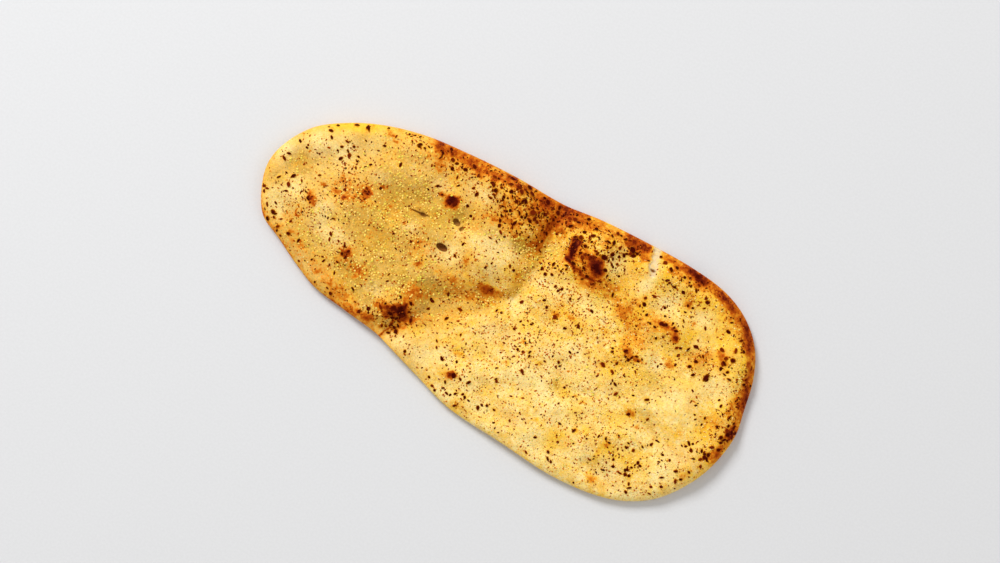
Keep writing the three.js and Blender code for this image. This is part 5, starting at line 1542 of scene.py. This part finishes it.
def strewing_tree(name, mask, seed, shape, variants=6, jitter=0.9, smooth=False):
    """Strews uneven bits over a surface, as thickly as the named value of the surface says."""
    tree = new_group(name, "GeometryNodeTree", [
        ("Surface", "INPUT", "NodeSocketGeometry", None),
        ("Most per Square Metre", "INPUT", "NodeSocketFloat", 100000.0),
        ("Least Gap", "INPUT", "NodeSocketFloat", 0.0008),
        ("Length", "INPUT", "NodeSocketFloat", 0.0012),
        ("Width", "INPUT", "NodeSocketFloat", 0.0008),
        ("Thickness", "INPUT", "NodeSocketFloat", 0.0004),
        ("Smallest", "INPUT", "NodeSocketFloat", 0.5),
        ("Largest", "INPUT", "NodeSocketFloat", 1.4),
        ("Finish", "INPUT", "NodeSocketMaterial", None),
        ("Geometry", "OUTPUT", "NodeSocketGeometry", None),
    ])
    given = add(tree, "NodeGroupInput").outputs
    spread = add(tree, "GeometryNodeDistributePointsOnFaces", {
        "Mesh": given["Surface"], "Distance Min": given["Least Gap"], "Seed": seed,
        "Density Max": given["Most per Square Metre"], "Density Factor": own_value(tree, mask, "FLOAT"),
    }, distribute_method="POISSON").outputs
    half = [times(tree, given[side], 0.5) for side in ("Length", "Width", "Thickness")]
    size = add(tree, "ShaderNodeCombineXYZ", dict(zip("XYZ", half))).outputs[0]
    bits = bit_shapes(tree, lambda: shape(tree), size, variants, jitter)
    spin = random_number(tree, 0.0, 2 * math.pi, seed + 1)
    about_up = add(tree, "ShaderNodeCombineXYZ", {"Z": spin}).outputs[0]
    turn = {"Rotation": spread["Rotation"], "Rotate By": about_up}
    rotation = add(tree, "FunctionNodeRotateRotation", turn, rotation_space="LOCAL").outputs[0]
    laid = add(tree, "GeometryNodeInstanceOnPoints", {
        "Points": spread["Points"], "Instance": bits, "Pick Instance": True, "Rotation": rotation,
        "Instance Index": random_pick(tree, variants, seed + 3),
        "Scale": random_number(tree, given["Smallest"], given["Largest"], seed + 2),
    }).outputs[0]
    finish_bits(tree, laid, given["Finish"], seed + 4, smooth)
    return tree


def laying_tree(name, seed, sides, variants=8, jitter=1.1):
    """Lays a flake on each given point, at that point's own turn and size."""
    tree = new_group(name, "GeometryNodeTree", [
        ("Points", "INPUT", "NodeSocketGeometry", None),
        ("Finish", "INPUT", "NodeSocketMaterial", None),
        ("Geometry", "OUTPUT", "NodeSocketGeometry", None),
    ])
    given = add(tree, "NodeGroupInput").outputs
    turn = {0: own_value(tree, "laid", "FLOAT_VECTOR")}
    laid = add(tree, "GeometryNodeInstanceOnPoints", {
        "Points": given["Points"], "Pick Instance": True, "Instance Index": random_pick(tree, variants, seed),
        "Instance": bit_shapes(tree, lambda: plate(tree, sides), (1.0, 1.0, 1.0), variants, jitter),
        "Rotation": add(tree, "FunctionNodeEulerToRotation", turn).outputs[0],
        "Scale": own_value(tree, "half_size", "FLOAT_VECTOR"),
    }).outputs[0]
    finish_bits(tree, laid, given["Finish"], seed + 1, False)
    return tree


def with_tree(name, mesh, tree, values):
    """A new object whose mesh is what the tree makes of the given one."""
    piece = bpy.data.objects.new(name, mesh)
    bpy.context.scene.collection.objects.link(piece)
    modifier = piece.modifiers.new(name, "NODES")
    modifier.node_group = tree
    sockets = {s.name: s.identifier for s in tree.interface.items_tree if s.in_out == "INPUT"}
    for label, value in values.items():
        modifier[sockets[label]] = value
    return applied(piece)


# Surface values that the bits take over from the bread but don't need.
SURFACE_VALUES = (
    "olive", "pale", "buttered", "dull_and_shaded", "hole", "crumb",
    "specks", "flecks", "granules", "crumbs", "toasted", "slivers",
)

# Forms of the bits: the least gap, the width and the thickness as shares of the length,
# then how small and how large they come, as shares of a middling one.
FLECK_FORM = (0.62, 0.6, 0.36, 0.5, 1.3)
SLIVER_FORM = (1, 0.24, 0.2, 0.5, 1.3)
TOASTED_FORM = (0.8, 0.6, 0.35, 0.5, 1.5)
GRANULE_FORM = (0.9, 0.8, 0.55, 0.6, 1.3)
CRUMB_FORM = (1, 0.85, 0.7, 0.5, 1.4)


def strewn(name, tree, length, most, form, finish):
    """A piece made of bits strewn over the bread, in one of the forms above."""
    gap, width, thick, smallest, largest = form
    bread = bpy.data.objects["naan_bread"]
    piece = with_tree(name, bread.data.copy(), tree, {
        "Most per Square Metre": most, "Least Gap": gap * length, "Length": length, "Width": width * length,
        "Thickness": thick * length, "Smallest": smallest, "Largest": largest, "Finish": finish,
    })
    values = piece.data.attributes
    for value in [v.name for v in values if v.name in SURFACE_VALUES]:
        values.remove(values[value])
    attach(piece, BREAD_BODY)


# -------- settings


def linear_light(value):
    """The light of a screen value from 0 to 255."""
    share = value / 255
    return share / 12.92 if share <= 0.04045 else ((share + 0.055) / 1.055) ** 2.4


def colour_property(label, words, *screen):
    """A colour given as it looks on a screen, 0 to 255."""
    light = [linear_light(value) for value in screen]
    return FloatVectorProperty(
        name=label, description=words, subtype="COLOR", size=3, min=0, max=1, default=light)


def length_property(label, words, metres):
    return FloatProperty(name=label, description=words, default=metres, unit="LENGTH", precision=5)


def amount_property(label, bits, most):
    words = bits + " per square metre where they lie thickest"
    return FloatProperty(name=label, description=words, default=most)


class FlatbreadColours(bpy.types.PropertyGroup):
    """Colours of the crust and of what lies on it"""

    # also the colour of two places of painted light
    pale: colour_property("Pale", "Crust that the heat hardly reached", 255, 230, 158)
    cream: colour_property("Cream", "Most of the crust", 252, 208, 106)
    golden: colour_property("Golden", "Lightly browned crust", 242, 180, 62)
    toasted: colour_property("Toasted", "Toasted crust", 220, 132, 24)
    browned: colour_property("Browned", "Well browned crust", 176, 76, 6)
    scorched: colour_property("Scorched", "Dark brown crust", 106, 26, 2)
    char: colour_property("Char", "Burnt crust", 60, 3, 0)
    butter: colour_property("Butter", "Places soaked with butter", 250, 196, 40)
    # dull tan: duller skin, and painted shade over the left half, along the crease and in hollows
    dull_and_shaded: colour_property("Steamed", "Dull skin that was steamed more than fried", 220, 174, 90)
    # olive also paints shade into hollows and along the crease
    olive: colour_property("Olive", "Stains of herb oil", 190, 149, 46)
    granule_gap_shade: colour_property("Grit", "Shade between the granules", 168, 116, 30)
    crumb: colour_property("Crumb", "Torn white crumb", 228, 206, 162)
    # the colour of the painted shade inside the docking holes
    hole: colour_property("Hole", "Inside of the docking holes", 124, 68, 24)
    fried: colour_property("Fried", "Golden crust round a fleck", 218, 136, 4)
    herb: colour_property("Herb", "Dried green herb", 92, 74, 12)
    herb_dust: colour_property("Herb dust", "Fine green herb dust", 160, 128, 26)
    herb_dark: colour_property("Dark herb", "Baked herb, nearly black", 74, 9, 1)
    herb_brown: colour_property("Brown herb", "Herb browned in the oven", 116, 34, 3)
    granule: colour_property("Granule", "Golden granules", 252, 224, 112)
    granule_green: colour_property("Green granule", "Greenish granules", 226, 206, 76)
    sand: colour_property("Crumbs", "Pale fine crumbs", 255, 232, 160)
    floor: colour_property("Floor", "The floor under the bread", 219, 222, 227)


class FlatbreadSizes(bpy.types.PropertyGroup):
    """Sizes and amounts of what lies on the crust"""

    fleck_length: length_property("Fleck length", "Length of a middling dark fleck", 0.0013)
    fleck_amount: amount_property("Fleck amount", "Dark flecks", 300000)
    granule_length: length_property("Granule length", "Length of a middling granule", 0.0014)
    granule_amount: amount_property("Granule amount", "Granules", 1150000)
    crumb_length: length_property("Crumb length", "Length of a middling pale crumb", 0.00095)
    crumb_amount: amount_property("Crumb amount", "Pale crumbs", 700000)
    toasted_length: length_property("Toasted bit length", "Length of a middling toasted bit", 0.0009)
    toasted_amount: amount_property("Toasted bit amount", "Toasted bits", 560000)
    sliver_length: length_property("Sliver length", "Length of a thin green sliver", 0.0016)
    sliver_amount: amount_property("Sliver amount", "Green slivers", 22000)
    flake_sides: IntProperty(
        name="Flake sides", description="Corners of a coarse herb flake", default=9, min=5, max=16)
    lens: FloatProperty(name="Lens", description="Focal length of the camera", default=50, unit="CAMERA")


# -------- operators


def look(context):
    """The colours and sizes that are set."""
    return context.scene.flatbread_colours, context.scene.flatbread_sizes


def shared(name, maker):
    """A node group by its name, made the first time it is asked for."""
    return bpy.data.node_groups.get(name) or maker()


class FLATBREAD_OT_bread(bpy.types.Operator):
    """Make the bread's crust, with its bubbles, crease, docking holes and torn rim"""

    bl_idname = "flatbread.bread"
    bl_label = "Bake the Bread"

    def execute(self, context):
        colours, _sizes = look(context)
        bread = bpy.data.objects.new("naan_bread", bread_mesh())
        context.scene.collection.objects.link(bread)
        cut_holes(bread)
        mark_surface(bread.data)
        bread.data.shade_smooth()
        specks = shared("toasted_specks", speck_group)
        grain = shared("baked_grain", grain_group)
        bread.data.materials.clear()
        bread.data.materials.append(crust_material(colours, specks, grain))
        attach(bread, BREAD_BODY)
        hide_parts(BREAD_NODE)
        return {"FINISHED"}


def laid(name, places, height_share, tree, finish):
    """A piece of flakes laid on the crust at the given places."""
    mesh = bpy.data.meshes.new(name)
    spots, turns, halves = [], [], []
    for x, y, turn, length, width in places:
        spots.append((x * MM, y * MM, at_point(top_at, x, y) * MM))
        turns.append(slope_turn(x, y, turn).to_euler())
        halves.append((length / 2 * MM, width / 2 * MM, width * height_share * MM))
    mesh.from_pydata(spots, [], [])
    store(mesh, "laid", turns, "FLOAT_VECTOR")
    store(mesh, "half_size", halves, "FLOAT_VECTOR")
    x, y = (np.array([spot[k] for spot in places]) for k in (0, 1))
    store(mesh, "browning", browning(x, y, inset_of(x, y)))
    flakes = with_tree(name, mesh, tree, {"Finish": finish})
    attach(flakes, BREAD_BODY)
    return flakes


class FLATBREAD_OT_flakes(bpy.types.Operator):
    """Lay the coarse herb flakes where the solid has them, and the largest dark flecks"""

    bl_idname = "flatbread.flakes"
    bl_label = "Lay Coarse Herb Flakes"

    def execute(self, context):
        colours, sizes = look(context)
        grain = shared("baked_grain", grain_group)
        tree = laying_tree("lay_herb_flakes", SEED_FLECKS, sizes.flake_sides)
        dark, foot = colours.herb_dark, foot_colours(colours)
        stops = [(0.0, colours.char), (0.45, dark), (0.8, colours.herb_brown), (1.0, dark)]
        finish = strewn_material("baked_herb", stops, grain, edge=foot)
        flakes = laid("herb_flakes", flake_places(), FLAKE_HALF_HEIGHT_SHARE, tree, finish)
        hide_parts(BREAD_NODE)
        stops = [(0.0, colours.char), (0.7, dark), (1.0, colours.herb_brown)]
        finish = strewn_material("burnt_herb", stops, grain, edge=foot)
        laid("large_flecks", large_fleck_places(), LARGE_FLECK_HEIGHT_SHARE, tree, finish)
        return {"FINISHED"}


class FLATBREAD_OT_flecks(bpy.types.Operator):
    """Strew the small dark flecks, the thin green slivers and the toasted bits"""

    bl_idname = "flatbread.flecks"
    bl_label = "Strew Flecks"

    def execute(self, context):
        colours, sizes = look(context)
        grain = shared("baked_grain", grain_group)
        foot = foot_colours(colours)
        tree = strewing_tree("strew_dark_flecks", "flecks", SEED_FLECKS, lambda t: plate(t, 7), 8, 1.3)
        finish = strewn_material("dark_fleck", [
            (0.0, colours.char), (0.3, colours.herb_dark), (0.7, colours.herb_brown), (1.0, colours.browned),
        ], grain, edge=foot)
        strewn("dark_flecks", tree, sizes.fleck_length, sizes.fleck_amount, FLECK_FORM, finish)
        tree = strewing_tree("strew_green_slivers", "slivers", SEED_SLIVERS, lambda t: plate(t, 5))
        finish = strewn_material("green_sliver", [
            (0.0, colours.herb_dust), (0.6, colours.olive), (1.0, colours.herb),
        ], grain)
        strewn("green_slivers", tree, sizes.sliver_length, sizes.sliver_amount, SLIVER_FORM, finish)
        tree = strewing_tree("strew_toasted_bits", "toasted", SEED_TOASTED, lambda t: plate(t, 5), 8, 1.3)
        finish = strewn_material("toasted_bit", [
            (0.0, colours.toasted), (0.4, colours.browned), (0.9, colours.scorched), (1.0, colours.herb_dark),
        ], grain, edge=foot)
        strewn("toasted_bits", tree, sizes.toasted_length, sizes.toasted_amount, TOASTED_FORM, finish)
        return {"FINISHED"}


class FLATBREAD_OT_granules(bpy.types.Operator):
    """Strew the golden granules and the pale crumbs"""

    bl_idname = "flatbread.granules"
    bl_label = "Strew Granules"

    def execute(self, context):
        colours, sizes = look(context)
        green = colours.granule_green
        grain = shared("baked_grain", grain_group)
        tree = strewing_tree("strew_granules", "granules", SEED_GRANULES, pebble, 8, 1.6)
        stops = [(0.0, green), (0.5, colours.granule), (0.8, colours.cream), (1.0, green)]
        finish = strewn_material("golden_granule", stops, grain)
        strewn("golden_granules", tree, sizes.granule_length, sizes.granule_amount, GRANULE_FORM, finish)
        tree = strewing_tree("strew_pale_crumbs", "crumbs", SEED_CRUMBS, crumb_bit, smooth=True)
        stops = [(0.0, colours.golden), (0.3, colours.cream), (0.7, colours.sand), (1.0, green)]
        finish = strewn_material("pale_crumb", stops, grain, roughness=0.6, gloss=0.06)
        strewn("pale_crumbs", tree, sizes.crumb_length, sizes.crumb_amount, CRUMB_FORM, finish)
        return {"FINISHED"}


# The camera looks straight down. It stands over this place and is turned by this many degrees.
CAMERA_OVER = (-6.4, 8.6)
CAMERA_TURN = 31
SENSOR_WIDTH = 36

# It sees this width at this height over the table.
VIEW_WIDTH = 571
VIEWED_HEIGHT = 8

# The floor's size in metres, its gap under the bread and how dark its darker clouds are.
FLOOR_SIZE_M = 6.0
FLOOR_GAP = 0.02
FLOOR_DARKER = 0.97

# Lights: (name, direction and height in degrees, distance and size in metres, power in watts, colour).
LIGHTS = [
    ("key", 150, 40, 3.0, 1.1, 73, (1.0, 0.99, 0.97)),
    ("fill", 40, 50, 3.0, 1.6, 8, (1.0, 0.97, 0.93)),
]
SKY_STRENGTH = 0.55
SKY_COLOUR = (1.0, 0.955, 0.9)


def lay_floor(colour):
    """A plain floor just under the bread."""
    bpy.ops.mesh.primitive_plane_add(size=FLOOR_SIZE_M, location=(0, 0, -FLOOR_GAP * MM))
    floor = bpy.context.object
    floor.name = "floor"
    floor.data.materials.append(floor_material(colour))


def hang_light(scene, name, direction, height, distance, size, power, tone):
    """A soft round light that faces the bread."""
    across, up = math.radians(direction), math.radians(height)
    level = Vector((math.cos(across), math.sin(across), 0))
    where = distance * (math.cos(up) * level + Vector((0, 0, math.sin(up))))
    lamp = bpy.data.lights.new(name, "AREA")
    lamp.shape = "DISK"
    lamp.size = size
    lamp.energy = power
    lamp.color = tone
    stand = bpy.data.objects.new(name, lamp)
    stand.location = where
    stand.rotation_euler = (-where).to_track_quat("-Z", "Y").to_euler()
    scene.collection.objects.link(stand)


def set_sky(scene):
    """Even light from all round."""
    scene.world = scene.world or bpy.data.worlds.new("studio")
    scene.world.use_nodes = True
    sky = scene.world.node_tree.nodes["Background"]
    sky.inputs["Color"].default_value = (*SKY_COLOUR, 1)
    sky.inputs["Strength"].default_value = SKY_STRENGTH


def set_camera(scene, lens):
    """A camera that looks straight down and sees a set width of the floor."""
    camera = bpy.data.objects.new("camera", bpy.data.cameras.new("camera"))
    camera.data.lens = lens
    camera.data.sensor_width = SENSOR_WIDTH
    away = VIEW_WIDTH * lens / SENSOR_WIDTH + VIEWED_HEIGHT
    camera.location = (CAMERA_OVER[0] * MM, CAMERA_OVER[1] * MM, away * MM)
    camera.rotation_euler = (0, 0, math.radians(CAMERA_TURN))
    scene.collection.objects.link(camera)
    scene.camera = camera


class FLATBREAD_OT_stage(bpy.types.Operator):
    """Set up the floor, the lights and the camera"""

    bl_idname = "flatbread.stage"
    bl_label = "Set the Stage"

    def execute(self, context):
        colours, sizes = look(context)
        lay_floor(colours.floor)
        for light in LIGHTS:
            hang_light(context.scene, *light)
        set_sky(context.scene)
        context.scene.view_settings.view_transform = "Standard"
        set_camera(context.scene, sizes.lens)
        return {"FINISHED"}


class FLATBREAD_PT_panel(bpy.types.Panel):
    """The flatbread's steps and settings"""

    bl_idname = "FLATBREAD_PT_panel"
    bl_label = "Herb Flatbread"
    bl_space_type = "VIEW_3D"
    bl_region_type = "UI"
    bl_category = "Flatbread"

    def draw(self, context):
        for step in STEPS:
            self.layout.operator(step.bl_idname)
        for settings in look(context):
            box = self.layout.box()
            for name in settings.__annotations__:
                box.prop(settings, name)


STEPS = (
    FLATBREAD_OT_bread,
    FLATBREAD_OT_flakes,
    FLATBREAD_OT_flecks,
    FLATBREAD_OT_granules,
    FLATBREAD_OT_stage,
)
CLASSES = (FlatbreadColours, FlatbreadSizes, *STEPS, FLATBREAD_PT_panel)


def register():
    for made in CLASSES:
        bpy.utils.register_class(made)
    bpy.types.Scene.flatbread_colours = PointerProperty(type=FlatbreadColours)
    bpy.types.Scene.flatbread_sizes = PointerProperty(type=FlatbreadSizes)


def unregister():
    del bpy.types.Scene.flatbread_sizes
    del bpy.types.Scene.flatbread_colours
    for made in reversed(CLASSES):
        bpy.utils.unregister_class(made)


def main():
    """Takes every step in turn."""
    register()
    for step in STEPS:
        group, name = step.bl_idname.split(".")
        getattr(getattr(bpy.ops, group), name)()


if __name__ == "__main__":
    main()
